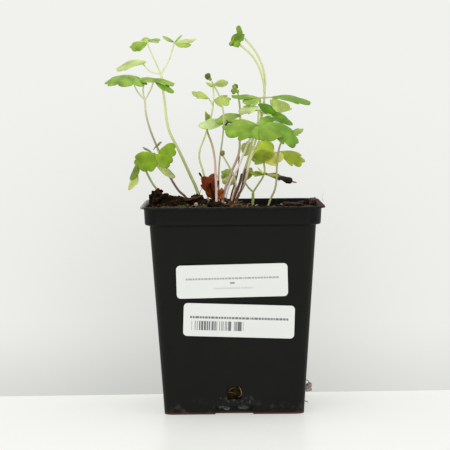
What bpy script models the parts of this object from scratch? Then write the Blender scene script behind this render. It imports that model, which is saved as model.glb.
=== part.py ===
"""A young columbine in a square nursery pot: the pot, its two blank labels, the
root ball, and each leaf with its stalks. Metres, +Z up, origin at the middle of
the pot's foot, and the front of the pot towards -Y."""

import math
from collections import namedtuple

import bmesh
import bpy
from mathutils import Matrix, Vector, noise

MM = 0.001

# The pot
RIM_HEIGHT = 102.0 * MM
LIP_HALF = 45.0 * MM
LIP_THICK = 1.0 * MM
COLLAR_HALF = 43.2 * MM
COLLAR_FOOT_HALF = 42.8 * MM
COLLAR_HEIGHT = 8.4 * MM
STEP_HEIGHT = 1.8 * MM
BODY_HALF = 40.5 * MM
FOOT_HALF = 34.2 * MM
WALL = 1.1 * MM
CORNER = 9.0 * MM
FOOT_CORNER = 4.0 * MM
CORNER_STEPS = 4
FLOOR_UNDER = 5.0 * MM
FLOOR_THICK = 1.2 * MM
NOTCH_WIDTH = 18.5 * MM
NOTCH_HEIGHT = 4.3 * MM
DRAIN_WIDTH = 7.0 * MM
DRAIN_LOW = 7.4 * MM
DRAIN_HIGH = 14.0 * MM
FLOOR_DRAIN_RADIUS = 3.5 * MM
FLOOR_DRAIN_OUT = 17.0 * MM
FOOT_RIB = 1.6 * MM
BOSS_RADIUS = 5.0 * MM
GAP = 0.32 * MM

# The labels on the front wall: their size, and for each the middle (x, z) and skew
LABEL_WIDTH = 54.0 * MM
LABEL_HEIGHT = 16.2 * MM
LABEL_THICK = 0.6 * MM
LABEL_CORNER = 2.0 * MM
LABELS = {
    "label_upper": (-0.6 * MM, 66.0 * MM, 1.0),
    "label_lower": (2.6 * MM, 46.4 * MM, -2.0),
}

# The root ball
SOIL_LEVEL = 100.2 * MM
SOIL_RINGS = 6
SOIL_SPOKES = 28
SOIL_ROUGHNESS = 1.0 * MM
SOIL_GRAIN = 7.0 * MM
HOLE_CLEARANCE = 0.4 * MM
# Heaps and dips of the surface: x, y, reach and height, in mm
HEAPS = [
    (-34, -6, 12, 3.0),
    (-20, 2, 12, 2.2),
    (-34, 26, 14, 1.5),
    (-2, 0, 14, 1.2),
    (22, 30, 22, -2.2),
    (38, 30, 9, 3.4),
    (37, 4, 9, 1.6),
    (24, -26, 16, -1.4),
]
# Clods: middle and half sizes, in mm
CLODS = [
    ((-36.5, -13, 103.8), (5.6, 4.2, 4.6)),
    ((-28.5, -16, 102.2), (4.0, 3.2, 2.2)),
    ((-17.8, -9, 102.8), (4.2, 3.0, 3.2)),
    ((-8, -18, 101.2), (4.2, 3.4, 1.8)),
    ((-30, 20, 102.2), (4.6, 3.6, 2.2)),
    ((31, 22, 101.0), (4.4, 2.4, 1.8)),
    ((36.5, 12, 102.2), (3.2, 4.2, 2.0)),
    ((14, -24, 99.8), (4.6, 3.6, 1.8)),
]
CLOD_ROUGHNESS = 0.5
BUD_ROUGHNESS = 0.25
LUMP_GRAIN = 2.4
LARGE_LUMP = 4.1

# The foliage
BLADE_THICK = 0.6 * MM
TOOTH_STEPS = (0.0, 0.25, 0.75)
BASE_SHARE = 0.8
MIDRIB_SOFTNESS = 0.08
PETIOLE_STEPS = 2
STALK_STEPS = 2
# The whole plant leans a little to the right, turning about a point low in the pot
PLANT_LEAN = math.radians(0.5)
LEAN_CENTRE = Vector((-3.8, 0, 90.6)) * MM

# A blade runs from its base to its tip, both in mm, and is width mm wide when laid
# flat. Angles are in degrees: roll turns it about its own length, droop bends it
# from end to end, cup bends it across, and fold creases it along its midrib. It is
# cut into lobes of some teeth each. Wedge narrows its base.
Blade = namedtuple(
    "Blade",
    "base tip width roll droop cup fold lobes teeth cut nick wedge rows",
    defaults=(0, 25, 20, 0, 3, 1, 0.25, 0.1, 0.4, 2),
)
# A leaf's petiole runs from its foot in the soil along route, and its stalks carry
# the leaflets: points in mm, radii in mm at the foot and at the top. A bud is a leaf
# still rolled up, given by its middle and half sizes.
Leaf = namedtuple(
    "Leaf", "colour route radii stalks stalk_radius blades buds", defaults=([],)
)

GREEN = (0.21, 0.36, 0.05)
DEEP_GREEN = (0.11, 0.22, 0.03)
YELLOW_GREEN = (0.35, 0.45, 0.08)
OLIVE_GREEN = (0.26, 0.34, 0.06)
RUST = (0.19, 0.05, 0.01)

TALL_FORK = (-36.1, 6.5, 166.8)
TALL_TOP = (-43, 3, 182.2)
TALL_SIDE = (-29.4, 8, 182.7)
TALL_LOW = (-45.3, 11, 171.8)
MID_FORK = (-44.2, 4, 153.3)
MID_LEFT = (-50.8, 6, 165.6)
MID_TOP = (-44.4, 3, 163)
MID_RIGHT = (-39.5, -1, 163.3)
LOW_FORK = (-38.8, -8, 127.2)
LOW_SIDE = (-48, -7, 123)
YOUNG_TOP = (-13.7, 5, 142.8)
SLENDER_SIDE = (-12, 4, 154.6)
SLENDER_MID = (-9.6, 7, 153.6)
SLENDER_TOP = (-9, 6, 159.8)
FURLED_TOP = (-10.5, -5, 163.1)
UNFOLDING_TOP = (2.8, 10, 157.3)
FRONT_FORK = (13.3, -12, 140.7)
RIGHT_FORK = (13.2, 0, 148.6)
RIGHT_INNER = (4.4, 2, 146.4)
RIGHT_OUTER = (18.6, 1, 147.6)
RIGHT_BACK = (21.3, 9, 146.8)
TOP_FORK = (13.8, 3, 154.7)
TOP_OUTER = (18.8, 2, 155)
NODDING_FORK = (16.2, 8, 157)
NODDING_OUTER = (6.2, 7, 184.8)
NODDING_INNER = (3.2, 6, 181.9)
FAR_TOP = (28.5, 0, 136.6)
YELLOW_NODE = (10.4, 2, 107.4)
YELLOW_FORK = (15.9, 3, 116.4)
YELLOW_TOP = (15.9, 8, 122.2)
YELLOW_SIDE = (6, 6, 112.6)
YELLOW_HIGH = (13, 12, 127)
YELLOW_RIGHT = (22.6, 11, 126.4)
YELLOW_BACK = (11, 15, 128.5)
ROUND_TOP = (0.2, 14, 112.5)

LEAVES = {
    "leaf_tall_left": Leaf(
        GREEN,
        [(-15, 2, 96), (-17.5, 2, 107), (-22.1, 3, 117.5), (-27.4, 4, 128.9),
         (-32.2, 5, 138.9), (-34.3, 6, 153), TALL_FORK],
        (0.7, 0.5),
        [[TALL_FORK, (-38.9, 5, 172.9), TALL_TOP],
         [TALL_FORK, (-32.2, 7, 173.6), TALL_SIDE],
         [TALL_FORK, (-41.7, 9, 168.2), TALL_LOW]],
        0.36,
        [Blade(TALL_TOP, (-50.6, -2, 179.5), 8.5, -42, 30, 20, 0, 3, 2, 0.3),
         Blade(TALL_TOP, (-36.4, 0, 183.9), 7, 14, 20),
         Blade(TALL_TOP, (-44, 12, 184.9), 7, 0, 20),
         Blade(TALL_SIDE, (-35.7, 6, 185.4), 6.5, -15, 15),
         Blade(TALL_SIDE, (-25.3, 13, 186.5), 4, 0, 10, 10, 0, 1, 2),
         Blade(TALL_SIDE, (-18.4, 10, 183.9), 7.5, -8, 10, 20, 0, 2, 2, 0.35),
         Blade(TALL_SIDE, (-21.2, 2, 180.6), 7.5, 28, 20, 20, 0, 2, 2),
         Blade(TALL_LOW, (-58.7, 12, 170), 10.5, 36, 40, 10, 0, 3, 2, 0.1)],
    ),
    "leaf_mid_left": Leaf(
        GREEN,
        [(-21, 8, 96), (-23, 8, 103.4), (-27.8, 7, 108.5), (-37.5, 5, 128.5),
         (-43.3, 4, 145), MID_FORK],
        (0.6, 0.42),
        [[MID_FORK, (-48.6, 5, 159), MID_LEFT],
         [MID_FORK, (-45, 3.5, 158), MID_TOP],
         [MID_FORK, (-40.8, 1, 159.5), MID_RIGHT]],
        0.34,
        [Blade(MID_LEFT, (-58, -9, 160.6), 24, 2, 62, 46, 0, 5, 1, 0.12),
         Blade(MID_TOP, (-40.8, -7, 161.4), 11, 5, 45),
         Blade(MID_RIGHT, (-28.6, -3, 161.1), 9, 18, 30, 20, 0, 3, 2, 0.2),
         Blade(MID_RIGHT, (-29.1, -7, 156.7), 7, 45, 25)],
    ),
    "leaf_low_left": Leaf(
        GREEN,
        [(-31, 1, 96), (-34, -1, 103.6), (-41, -5, 113.5), (-43.2, -7, 121), LOW_FORK],
        (0.55, 0.42),
        [[LOW_FORK, (-43, -6, 125.8), LOW_SIDE]],
        0.3,
        [Blade(LOW_FORK, (-45.4, -17, 119.2), 16, -14, 40, 30, 0, 3, 2, 0.16, 0.06,
               0.25, 3),
         Blade(LOW_SIDE, (-51.4, -8, 108.8), 10, 5, 20, 15, 25, 1, 3, 0.1, 0.1, 0.8),
         Blade(LOW_FORK, (-28, -10, 129.2), 9.5, 62, 15, 20, 0, 2, 2, 0.25, 0.06),
         Blade(LOW_FORK, (-30.8, -13, 121), 9, 58, 20, 20, 0, 1, 3, 0.2, 0.08),
         Blade(LOW_FORK, (-30, -4, 114.8), 9, -60, 15, 15, 15, 1, 3, 0.2, 0.1),
         Blade(LOW_FORK, (-45.3, -1, 130.2), 6, 0, 10, 15, 0, 1, 3),
         Blade(LOW_FORK, (-36, -3, 132), 4.5, 0, 70, 20, 0, 1, 3)],
    ),
    "leaf_young_centre": Leaf(
        GREEN,
        [(-7.5, -1, 96), (-8, -1, 102.5), (-8.3, -1, 113), (-9.9, 1.5, 129.5),
         (-12.9, 4.5, 138.5), YOUNG_TOP],
        (0.65, 0.4),
        [],
        0.3,
        [Blade(YOUNG_TOP, (-13.5, 4, 147.8), 5, 90, 10, 30, 30, 1, 3),
         Blade(YOUNG_TOP, (-11.1, 3, 145.8), 4, 60, 10, 30, 0, 1, 3)],
    ),
    "leaf_slender": Leaf(
        YELLOW_GREEN,
        [(-11.5, 11, 96), (-12.3, 11, 103), (-14.8, 9.5, 117), (-16.9, 9.5, 125.5),
         (-13.8, 10, 136), (-10.9, 9, 145.2), SLENDER_MID, SLENDER_TOP],
        (0.5, 0.35),
        [[(-9.9, 7.6, 151), (-11.2, 6, 153.2), SLENDER_SIDE]],
        0.3,
        [Blade(SLENDER_SIDE, (-20.6, 3, 157.4), 7.5, -32, 15, 20, 0, 3, 1, 0.2),
         Blade(SLENDER_MID, (-0.9, 4, 152.2), 9.5, 50, 20, 20, 0, 3, 2, 0.3),
         Blade(SLENDER_TOP, (-2.4, 4, 162.6), 6, 28, 35),
         Blade(SLENDER_TOP, (-12.8, 4, 161.7), 4, -20, 20, 20, 0, 1, 3)],
    ),
    "leaf_furled": Leaf(
        DEEP_GREEN,
        [(-6.2, 7.5, 96), (-6.8, 7.5, 103.5), (-6.8, 4, 120), (-4.9, -4, 136),
         (-4.4, -7, 145), (-6, -6.5, 153.8), FURLED_TOP],
        (0.42, 0.32),
        [],
        0.3,
        [],
        [((-12.5, -5, 165.2), (1.7, 1.5, 1.8)), ((-11, -5.1, 163.5), (1.0, 0.9, 1.0))],
    ),
    "leaf_unfolding": Leaf(
        OLIVE_GREEN,
        [(-4.5, 3, 96), (-5, 3, 103), (-0.8, 4, 116.6), (3.3, 4.5, 127.4),
         (3.6, 6.5, 134.5), (3.8, 10, 148.5), UNFOLDING_TOP],
        (0.7, 0.42),
        [],
        0.3,
        [Blade(UNFOLDING_TOP, (-1.4, 9, 157.8), 5, -70, 30, 40, 0, 1, 3),
         Blade((2.2, 9.8, 158.2), (0.4, 9, 162), 4.6, -80, 40, 30, 0, 1, 3)],
        [((1.4, 9.8, 159), (1.5, 1.3, 1.9))],
    ),
    "leaf_front": Leaf(
        GREEN,
        [(1.6, -4, 96), (2.2, -4, 104), (5.8, -6, 111.5), (8, -8.5, 121),
         (11, -10.5, 132), FRONT_FORK],
        (0.6, 0.5),
        [],
        0.3,
        [Blade(FRONT_FORK, (-4.8, -18, 138), 17, -40, 30, 25, 0, 3, 2, 0.14, 0.06,
               0.25, 3),
         Blade(FRONT_FORK, (19, -22, 133.6), 14, 0, 30, 20, 0, 3, 2, 0.12, 0.06),
         Blade(FRONT_FORK, (31.8, -14, 131.8), 15, 40, 35, 25, 0, 3, 2, 0.16, 0.06,
               0.4, 3),
         Blade(FRONT_FORK, (21, -3, 144.4), 11, 10, 15, 20, 0, 2, 2, 0.15)],
    ),
    "leaf_mid_right": Leaf(
        DEEP_GREEN,
        [(-3.5, -3, 96), (-3.4, -3, 104.5), (-1.9, -3, 110.3), (3, -3, 120.5),
         (8.2, -2, 133), (12.4, -1, 142), RIGHT_FORK],
        (0.5, 0.45),
        [[RIGHT_FORK, (9, 1.5, 148), RIGHT_INNER, (-2.8, 0, 142.8)],
         [RIGHT_FORK, (16, 0.5, 148.6), RIGHT_OUTER],
         [RIGHT_FORK, (17, 5, 146.6), RIGHT_BACK]],
        0.34,
        [Blade(RIGHT_FORK, (4, -4, 146.8), 11, 36, 25),
         Blade(RIGHT_INNER, (-8.8, -3, 142.6), 8, -28, 20, 15, 0, 3, 1, 0.12),
         Blade((-2.8, 0, 142.8), (-17, -2, 140.3), 9, 35, 20, 10, 0, 3, 1, 0.12, 0.1,
               0.4, 3),
         Blade(RIGHT_FORK, (21.7, -5, 148.2), 11, 42, 30),
         Blade(RIGHT_OUTER, (29.8, -3, 141.6), 9, 36, 20),
         Blade(RIGHT_BACK, (25, 4, 154.2), 17, 0, 10, 20, 0, 3, 2, 0.15)],
    ),
    "leaf_top_right": Leaf(
        DEEP_GREEN,
        [(1.7, 4, 96), (1.8, 4, 103), (5, 4, 115), (9.7, 4.5, 125), (13.6, 4.5, 134),
         (14.4, 3.5, 144), TOP_FORK],
        (0.5, 0.42),
        [[TOP_FORK, TOP_OUTER]],
        0.36,
        [Blade(TOP_FORK, (-1, 2, 155.5), 11, -14, 14, 15, 0, 3, 2, 0.16, 0.06),
         Blade(TOP_FORK, (5.2, -3, 151.9), 8, -40, 30),
         Blade(TOP_OUTER, (39.5, -1, 152), 12, 18, 28, 20, 0, 3, 2, 0.16, 0.06, 0.4,
               3)],
    ),
    "leaf_nodding": Leaf(
        DEEP_GREEN,
        [(-0.2, -1, 96), (0.3, -1, 103.2), (4, -0.5, 112.8), (8.4, 0.5, 125.6),
         (9.6, 3, 132), (15.2, 7.5, 147), NODDING_FORK],
        (0.7, 0.55),
        [[NODDING_FORK, (16.4, 8, 165), (12.6, 8, 176.4), NODDING_OUTER],
         [NODDING_FORK, (15.2, 6.5, 164.5), (10.7, 6, 174.8), NODDING_INNER]],
        0.42,
        [Blade(NODDING_OUTER, (-0.8, 4, 180.4), 9, -60, 20, 20, 0, 3, 1),
         Blade(NODDING_OUTER, (1.6, 6, 190), 6.5, -75, 20, 20, 20, 1, 3),
         Blade(NODDING_INNER, (0, 3, 180.2), 5, 0, 20)],
    ),
    "leaf_far_right": Leaf(
        GREEN,
        [(17, -4, 95), (18.4, -5, 102.4), (21.4, -6, 110), (22.3, -6, 122),
         (24.2, -4, 132), FAR_TOP],
        (0.5, 0.4),
        [],
        0.3,
        [Blade(FAR_TOP, (35.6, -2, 138.6), 8, 30, 20),
         Blade(FAR_TOP, (24.4, 9, 139.6), 8, 0, 20),
         Blade(FAR_TOP, (33.5, 9, 138.4), 8, 0, 20)],
    ),
    "leaf_yellowing": Leaf(
        YELLOW_GREEN,
        [(9.5, 2, 95), (10.1, 2, 100.4), YELLOW_NODE],
        (0.75, 0.6),
        [[YELLOW_NODE, (8.2, 3, 109.4), YELLOW_SIDE],
         [YELLOW_NODE, (12.5, 2, 110.5), YELLOW_FORK, YELLOW_TOP],
         [YELLOW_TOP, YELLOW_HIGH],
         [YELLOW_TOP, (19, 10, 124.8), YELLOW_RIGHT],
         [YELLOW_TOP, (13, 12.5, 125.5), YELLOW_BACK]],
        0.42,
        [Blade(YELLOW_SIDE, (9.2, 5, 119.6), 8, 62, 20),
         Blade(YELLOW_FORK, (8.6, 3, 117.2), 8, -12, 15),
         Blade(YELLOW_FORK, (32, 3, 112.6), 8, 15, 20, 20, 0, 3, 1, 0.2, 0.1, 0.6, 3),
         Blade(YELLOW_FORK, (12.3, 1, 119.3), 4.5, -30, 20, 20, 0, 1, 3),
         Blade(YELLOW_TOP, (9, 6, 122.9), 10, -48, 25),
         Blade(YELLOW_TOP, (24.1, 6, 122.7), 9.5, 50, 25),
         Blade(YELLOW_HIGH, (21.5, 9, 128.9), 15, 58, 20, 15, -20, 3, 1, 0.15),
         Blade(YELLOW_RIGHT, (35.9, 6, 122.3), 14, 42, 25, 20, 0, 3, 2, 0.2),
         Blade(YELLOW_BACK, (4.5, 15, 129.5), 12, -50, 20, 20, 0, 3, 1, 0.15)],
    ),
    "leaf_low_round": Leaf(
        GREEN,
        [(1.5, 14, 95), (1, 14, 102.5), (1.2, 14.5, 108), ROUND_TOP],
        (0.45, 0.4),
        [],
        0.3,
        [Blade(ROUND_TOP, (-6.2, 11, 116), 10, -58, 25, 30, 0, 3, 2, 0.1, 0.06, 0.3)],
    ),
    "leaf_furled_low": Leaf(
        OLIVE_GREEN,
        [(-0.5, -8, 96), (-0.2, -8, 104.5), (1.5, -8, 112), (-1.1, -8, 119.2),
         (-5, -8, 126.1)],
        (0.45, 0.35),
        [],
        0.3,
        [],
        [((-5.2, -8, 126.9), (1.1, 1.0, 1.5))],
    ),
    "leaf_dead": Leaf(
        RUST,
        [(-8.5, 3, 97), (-9.4, 3, 101.5), (-10, 3, 105)],
        (0.6, 0.5),
        [],
        0.3,
        [Blade((-10, 3, 105), (-12.2, 2.5, 118), 13.5, 84, 25, 30, 15, 3, 1, 0.3, 0.1,
               0.3, 3),
         Blade((-9.8, 3, 104.6), (-5, 1.5, 110.5), 8, 70, 30, 30, 0, 1, 3, 0.2)],
    ),
    "stem_bare": Leaf(
        RUST,
        [(-1.2, 8, 96), (-0.8, 8, 104.5), (1.7, 8, 113), (2.8, 8, 118), (3.4, 8, 125.5)],
        (0.4, 0.3),
        [],
        0.3,
        [],
    ),
}


def clear_scene():
    for thing in list(bpy.data.objects):
        bpy.data.objects.remove(thing)


def finish_of(name, colour, roughness):
    """The material of that name, made the first time it is asked for."""
    made = bpy.data.materials.get(name)
    if made is None:
        made = bpy.data.materials.new(name)
        made.use_nodes = True
        made.diffuse_color = (*colour, 1)
        shader = made.node_tree.nodes["Principled BSDF"]
        shader.inputs["Base Color"].default_value = (*colour, 1)
        shader.inputs["Roughness"].default_value = roughness
        shader.inputs["Metallic"].default_value = 0.0
    return made


def add_object(name, mesh, finish):
    made = bpy.data.objects.new(name, mesh)
    made.data.materials.clear()
    made.data.materials.append(finish)
    bpy.context.scene.collection.objects.link(made)
    return made


def add_mesh(name, points, faces, finish):
    mesh = bpy.data.meshes.new(name)
    mesh.from_pydata(points, [], faces)
    return add_object(name, mesh, finish)


def combine(target, pieces, operation, solver="EXACT"):
    """Joins the pieces to the target, or cuts them from it, and removes them."""
    group = bpy.data.collections.new("tools")
    for piece in pieces:
        group.objects.link(piece)
    modifier = target.modifiers.new(operation.lower(), "BOOLEAN")
    modifier.operation = operation
    modifier.operand_type = "COLLECTION"
    modifier.collection = group
    modifier.solver = solver
    graph = bpy.context.evaluated_depsgraph_get()
    mesh = bpy.data.meshes.new_from_object(target.evaluated_get(graph))
    target.modifiers.clear()
    target.data = mesh
    for piece in pieces:
        bpy.data.objects.remove(piece)
    bpy.data.collections.remove(group)


def box(name, middle, size, finish, turn=0.0):
    """A block turned about the vertical through its middle."""
    shape = bmesh.new()
    place = Matrix.Translation(middle) @ Matrix.Rotation(turn, 4, "Z")
    bmesh.ops.create_cube(shape, size=1.0, matrix=place @ Matrix.Diagonal((*size, 1)))
    mesh = bpy.data.meshes.new(name)
    shape.to_mesh(mesh)
    shape.free()
    return add_object(name, mesh, finish)


def drum(name, x, y, low, high, radius, finish, sides=16):
    shape = bmesh.new()
    bmesh.ops.create_cone(
        shape, cap_ends=True, segments=sides, radius1=radius, radius2=radius,
        depth=high - low, matrix=Matrix.Translation((x, y, (low + high) / 2)),
    )
    mesh = bpy.data.meshes.new(name)
    shape.to_mesh(mesh)
    shape.free()
    return add_object(name, mesh, finish)


def rounded_outline(half_width, half_depth, corner, steps=CORNER_STEPS):
    """The flat outline of a rectangle with round corners, anticlockwise."""
    points = []
    for quarter, (right, far) in enumerate([(1, 1), (-1, 1), (-1, -1), (1, -1)]):
        for step in range(steps + 1):
            angle = (quarter + step / steps) * math.pi / 2
            x = right * (half_width - corner) + corner * math.cos(angle)
            y = far * (half_depth - corner) + corner * math.sin(angle)
            points.append((x, y))
    return points


def rounded_square(half, corner, height, steps=CORNER_STEPS):
    return [Vector((x, y, height)) for x, y in rounded_outline(half, half, corner, steps)]


def skin(rings):
    """Points and faces of rings joined one to the next, with both ends closed."""
    count = len(rings[0])
    points = [point for ring in rings for point in ring]
    faces = []
    for level in range(len(rings) - 1):
        for i in range(count):
            low, next_low = level * count + i, level * count + (i + 1) % count
            faces.append((low, next_low, next_low + count, low + count))
    faces.append(tuple(reversed(range(count))))
    faces.append(tuple(range(len(points) - count, len(points))))
    return points, faces


def body_half(height):
    """Half the width of the pot's body at a height, which widens evenly upwards."""
    top = RIM_HEIGHT - COLLAR_HEIGHT - STEP_HEIGHT
    return FOOT_HALF + (BODY_HALF - FOOT_HALF) * height / top


def corner_at(half):
    """The corner's radius where the pot is half that wide."""
    return max(CORNER + half - COLLAR_HALF, FOOT_CORNER)


def make_pot(finish):
    collar_foot = RIM_HEIGHT - COLLAR_HEIGHT
    step_foot = collar_foot - STEP_HEIGHT
    under_lip = RIM_HEIGHT - LIP_THICK
    floor_top = FLOOR_UNDER + FLOOR_THICK
    profile = [
        (body_half(FLOOR_UNDER) - WALL, FLOOR_UNDER),
        (FOOT_HALF - WALL, 0.0),
        (FOOT_HALF, 0.0),
        (BODY_HALF, step_foot),
        (COLLAR_FOOT_HALF - 0.5 * MM, collar_foot - 0.5 * MM),
        (COLLAR_FOOT_HALF, collar_foot),
        (COLLAR_HALF, under_lip),
        (LIP_HALF, under_lip),
        (LIP_HALF, RIM_HEIGHT),
        (COLLAR_HALF - WALL, RIM_HEIGHT),
        (COLLAR_FOOT_HALF - WALL, collar_foot),
        (BODY_HALF - WALL, step_foot),
        (body_half(floor_top) - WALL, floor_top),
    ]
    rings = []
    for half, height in profile:
        rings.append(rounded_square(half, corner_at(half), height))
    # The outline runs up the outside and down the inside, so its caps are the floor
    points, faces = skin(rings)
    pot = add_mesh("pot", points, faces, finish)

    reach = (FOOT_HALF - CORNER) * math.sqrt(2) + CORNER - WALL
    ribs = [
        box("rib", Vector((math.cos(angle), math.sin(angle), 0)) * reach / 2
            + Vector((0, 0, (1.0 * MM + FLOOR_UNDER + 0.5 * MM) / 2)),
            (reach, FOOT_RIB, FLOOR_UNDER - 0.5 * MM), finish, angle)
        for angle in (math.radians(45 + 90 * k) for k in range(4))
    ]
    boss = drum("boss", 0, 0, 0, FLOOR_UNDER + 0.5 * MM, BOSS_RADIUS, finish)
    combine(pot, [*ribs, boss], "UNION")

    cutters = []
    for side in range(4):
        angle = side * math.pi / 2
        out = Vector((math.sin(angle), -math.cos(angle), 0))
        notch_middle = out * FOOT_HALF
        cutters.append(box("notch", notch_middle, (NOTCH_WIDTH, 12 * MM, 2 * NOTCH_HEIGHT),
                           finish, angle))
        drain_middle = out * FOOT_HALF + Vector((0, 0, (DRAIN_LOW + DRAIN_HIGH) / 2))
        cutters.append(box("drain", drain_middle,
                           (DRAIN_WIDTH, 8 * MM, DRAIN_HIGH - DRAIN_LOW), finish, angle))
        hole = out * FLOOR_DRAIN_OUT
        cutters.append(drum("floor_drain", hole.x, hole.y, 0, FLOOR_UNDER + 3 * MM,
                            FLOOR_DRAIN_RADIUS, finish, 12))
    combine(pot, cutters, "DIFFERENCE")
    return pot


def make_label(name, x, height, skew, finish):
    """A thin sticker with round corners, leaning back with the front wall."""
    top = RIM_HEIGHT - COLLAR_HEIGHT - STEP_HEIGHT
    lean = math.atan2(BODY_HALF - FOOT_HALF, top)
    corners = rounded_outline(LABEL_WIDTH / 2, LABEL_HEIGHT / 2, LABEL_CORNER)
    front = [Vector((a, -LABEL_THICK / 2, b)) for a, b in corners]
    back = [Vector((a, LABEL_THICK / 2, b)) for a, b in corners]
    points, faces = skin([back, front])
    made = add_mesh(name, points, faces, finish)
    away = body_half(height) + (GAP + LABEL_THICK / 2) / math.cos(lean)
    made.matrix_world = (
        Matrix.Translation((x, -away, height))
        @ Matrix.Rotation(lean, 4, "X")
        @ Matrix.Rotation(-math.radians(skew), 4, "Y")
    )
    return made


def soil_height(x, y):
    """The surface of the soil: its heaps and dips, and a fine crumb."""
    height = SOIL_LEVEL
    for heap_x, heap_y, reach, rise in HEAPS:
        away = math.hypot(x / MM - heap_x, y / MM - heap_y)
        height += rise * MM * math.exp(-((away / reach) ** 2))
    place = Vector((x, y, 0)) / SOIL_GRAIN
    return height + SOIL_ROUGHNESS * noise.noise(place)


def make_lump(name, middle, size, roughness, finish):
    """A rough ball: a clod of soil, or a bud."""
    shape = bmesh.new()
    detail = 2 if max(size) > LARGE_LUMP else 1
    bmesh.ops.create_icosphere(shape, subdivisions=detail, radius=1.0)
    for vertex in shape.verts:
        lump = noise.noise(vertex.co * LUMP_GRAIN + Vector(middle))
        vertex.co *= 1.0 + roughness * lump
        vertex.co = Vector(
            (middle[i] + size[i] * vertex.co[i]) * MM for i in range(3)
        )
    mesh = bpy.data.meshes.new(name)
    shape.to_mesh(mesh)
    shape.free()
    return add_object(name, mesh, finish)


def make_soil(finish):
    """The root ball, which fills the pot to its own uneven surface."""
    collar_foot = RIM_HEIGHT - COLLAR_HEIGHT
    step_foot = collar_foot - STEP_HEIGHT
    floor_top = FLOOR_UNDER + FLOOR_THICK
    steps = SOIL_SPOKES // 4 - 1
    sides = []
    for half, height in (
        (body_half(floor_top) - WALL, floor_top + GAP),
        (BODY_HALF - WALL, step_foot + GAP),
        (COLLAR_FOOT_HALF - WALL - 0.1 * MM, collar_foot + GAP),
    ):
        sides.append(rounded_square(half - GAP, corner_at(half), height, steps))
    reach = COLLAR_FOOT_HALF - WALL - GAP
    edge = rounded_square(reach, CORNER - WALL - GAP, 0, steps)
    rings = sides
    for level in range(SOIL_RINGS):
        share = 1.0 - level / SOIL_RINGS
        ring = [point * share for point in edge]
        rings.append([Vector((p.x, p.y, soil_height(p.x, p.y))) for p in ring])
    points, faces = skin(rings)
    soil = add_mesh("soil", points, faces, finish)
    clods = [make_lump("clod", *clod, CLOD_ROUGHNESS, finish) for clod in CLODS]
    for clod in clods:
        for vertex in clod.data.vertices:
            vertex.co.x = min(max(vertex.co.x, -reach), reach)
    combine(soil, clods, "UNION", "MANIFOLD")
    return soil


def tube(name, route, radii, finish, steps, sides_level, spare=0.0):
    """A round stalk along a smooth curve through the route, with closed ends."""
    curve = bpy.data.curves.new(name, "CURVE")
    curve.dimensions = "3D"
    curve.resolution_u = steps
    curve.bevel_depth = MM
    curve.bevel_resolution = sides_level
    curve.use_fill_caps = True
    spline = curve.splines.new("BEZIER")
    spline.bezier_points.add(len(route) - 1)
    for i, (point, place) in enumerate(zip(spline.bezier_points, route)):
        share = i / (len(route) - 1)
        point.co = Vector(place) * MM
        point.radius = radii[0] + (radii[1] - radii[0]) * share + spare / MM
        point.handle_left_type = point.handle_right_type = "AUTO"
    guide = bpy.data.objects.new(name, curve)
    bpy.context.scene.collection.objects.link(guide)
    graph = bpy.context.evaluated_depsgraph_get()
    mesh = bpy.data.meshes.new_from_object(guide.evaluated_get(graph))
    bpy.data.objects.remove(guide)
    shape = bmesh.new()
    shape.from_mesh(mesh)
    bmesh.ops.remove_doubles(shape, verts=shape.verts, dist=0.001 * MM)
    bmesh.ops.recalc_face_normals(shape, faces=shape.faces)
    shape.to_mesh(mesh)
    shape.free()
    return add_object(name, mesh, finish)


def dip_at(blade, share):
    """How deep the outline is cut in at a share of the way round its lobes."""
    count = blade.lobes * blade.teeth
    place = min(max(share, 0.0), 1.0) * count
    tooth = min(int(place), count - 1)
    within = place - tooth

    def depth(edge):
        if edge in (0, count):
            return 0.0
        return blade.cut if edge % blade.teeth == 0 else blade.nick

    ends = depth(tooth) * (1 - within) + depth(tooth + 1) * within
    return ends * (1 - math.sqrt(math.sin(math.pi * within)))


def outline(blade, length):
    """The edge of the flat blade, from its left to its right side seen from above."""
    count = blade.lobes * blade.teeth
    shares = [(tooth + step) / count for tooth in range(count) for step in TOOTH_STEPS]
    shares.append(1.0)
    rough = []
    for share in shares:
        angle = math.pi * BASE_SHARE * (2 * share - 1)
        along = (1 + math.cos(angle)) / 2
        rough.append((share, math.sin(angle) * along**blade.wedge, along))
    widest = max(across for _, across, _ in rough)
    edge = []
    for share, across, along in rough:
        kept = 1 - dip_at(blade, share)
        edge.append((across / widest * blade.width / 2 * MM * kept, along * length * kept))
    return edge


def bent(blade, across, along, length):
    """A point of the flat blade once it droops, cups and folds, in its own frame."""
    half = blade.width / 2 * MM
    cup_radius = half / math.radians(max(blade.cup, 0.1))
    droop = math.radians(max(blade.droop, 0.1))
    droop_radius = length / droop
    softness = MIDRIB_SOFTNESS * half
    crease = math.hypot(across, softness) - softness
    rise = -cup_radius * (1 - math.cos(across / cup_radius))
    rise -= crease * math.tan(math.radians(blade.fold))
    x = cup_radius * math.sin(across / cup_radius)
    turn = along / droop_radius
    reach = droop_radius + rise
    point = Vector((x, reach * math.sin(turn), reach * math.cos(turn) - droop_radius))
    return Matrix.Rotation(droop / 2, 3, "X") @ point


def blade_frame(blade):
    """The rotation from the blade's own frame to the world: it grows along +Y."""
    along = (Vector(blade.tip) - Vector(blade.base)).normalized()
    up = Vector((0, 0, 1)) - along * along.z
    up.normalize()
    up = Matrix.Rotation(math.radians(blade.roll), 3, along) @ up
    return Matrix((along.cross(up), along, up)).transposed()


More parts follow.
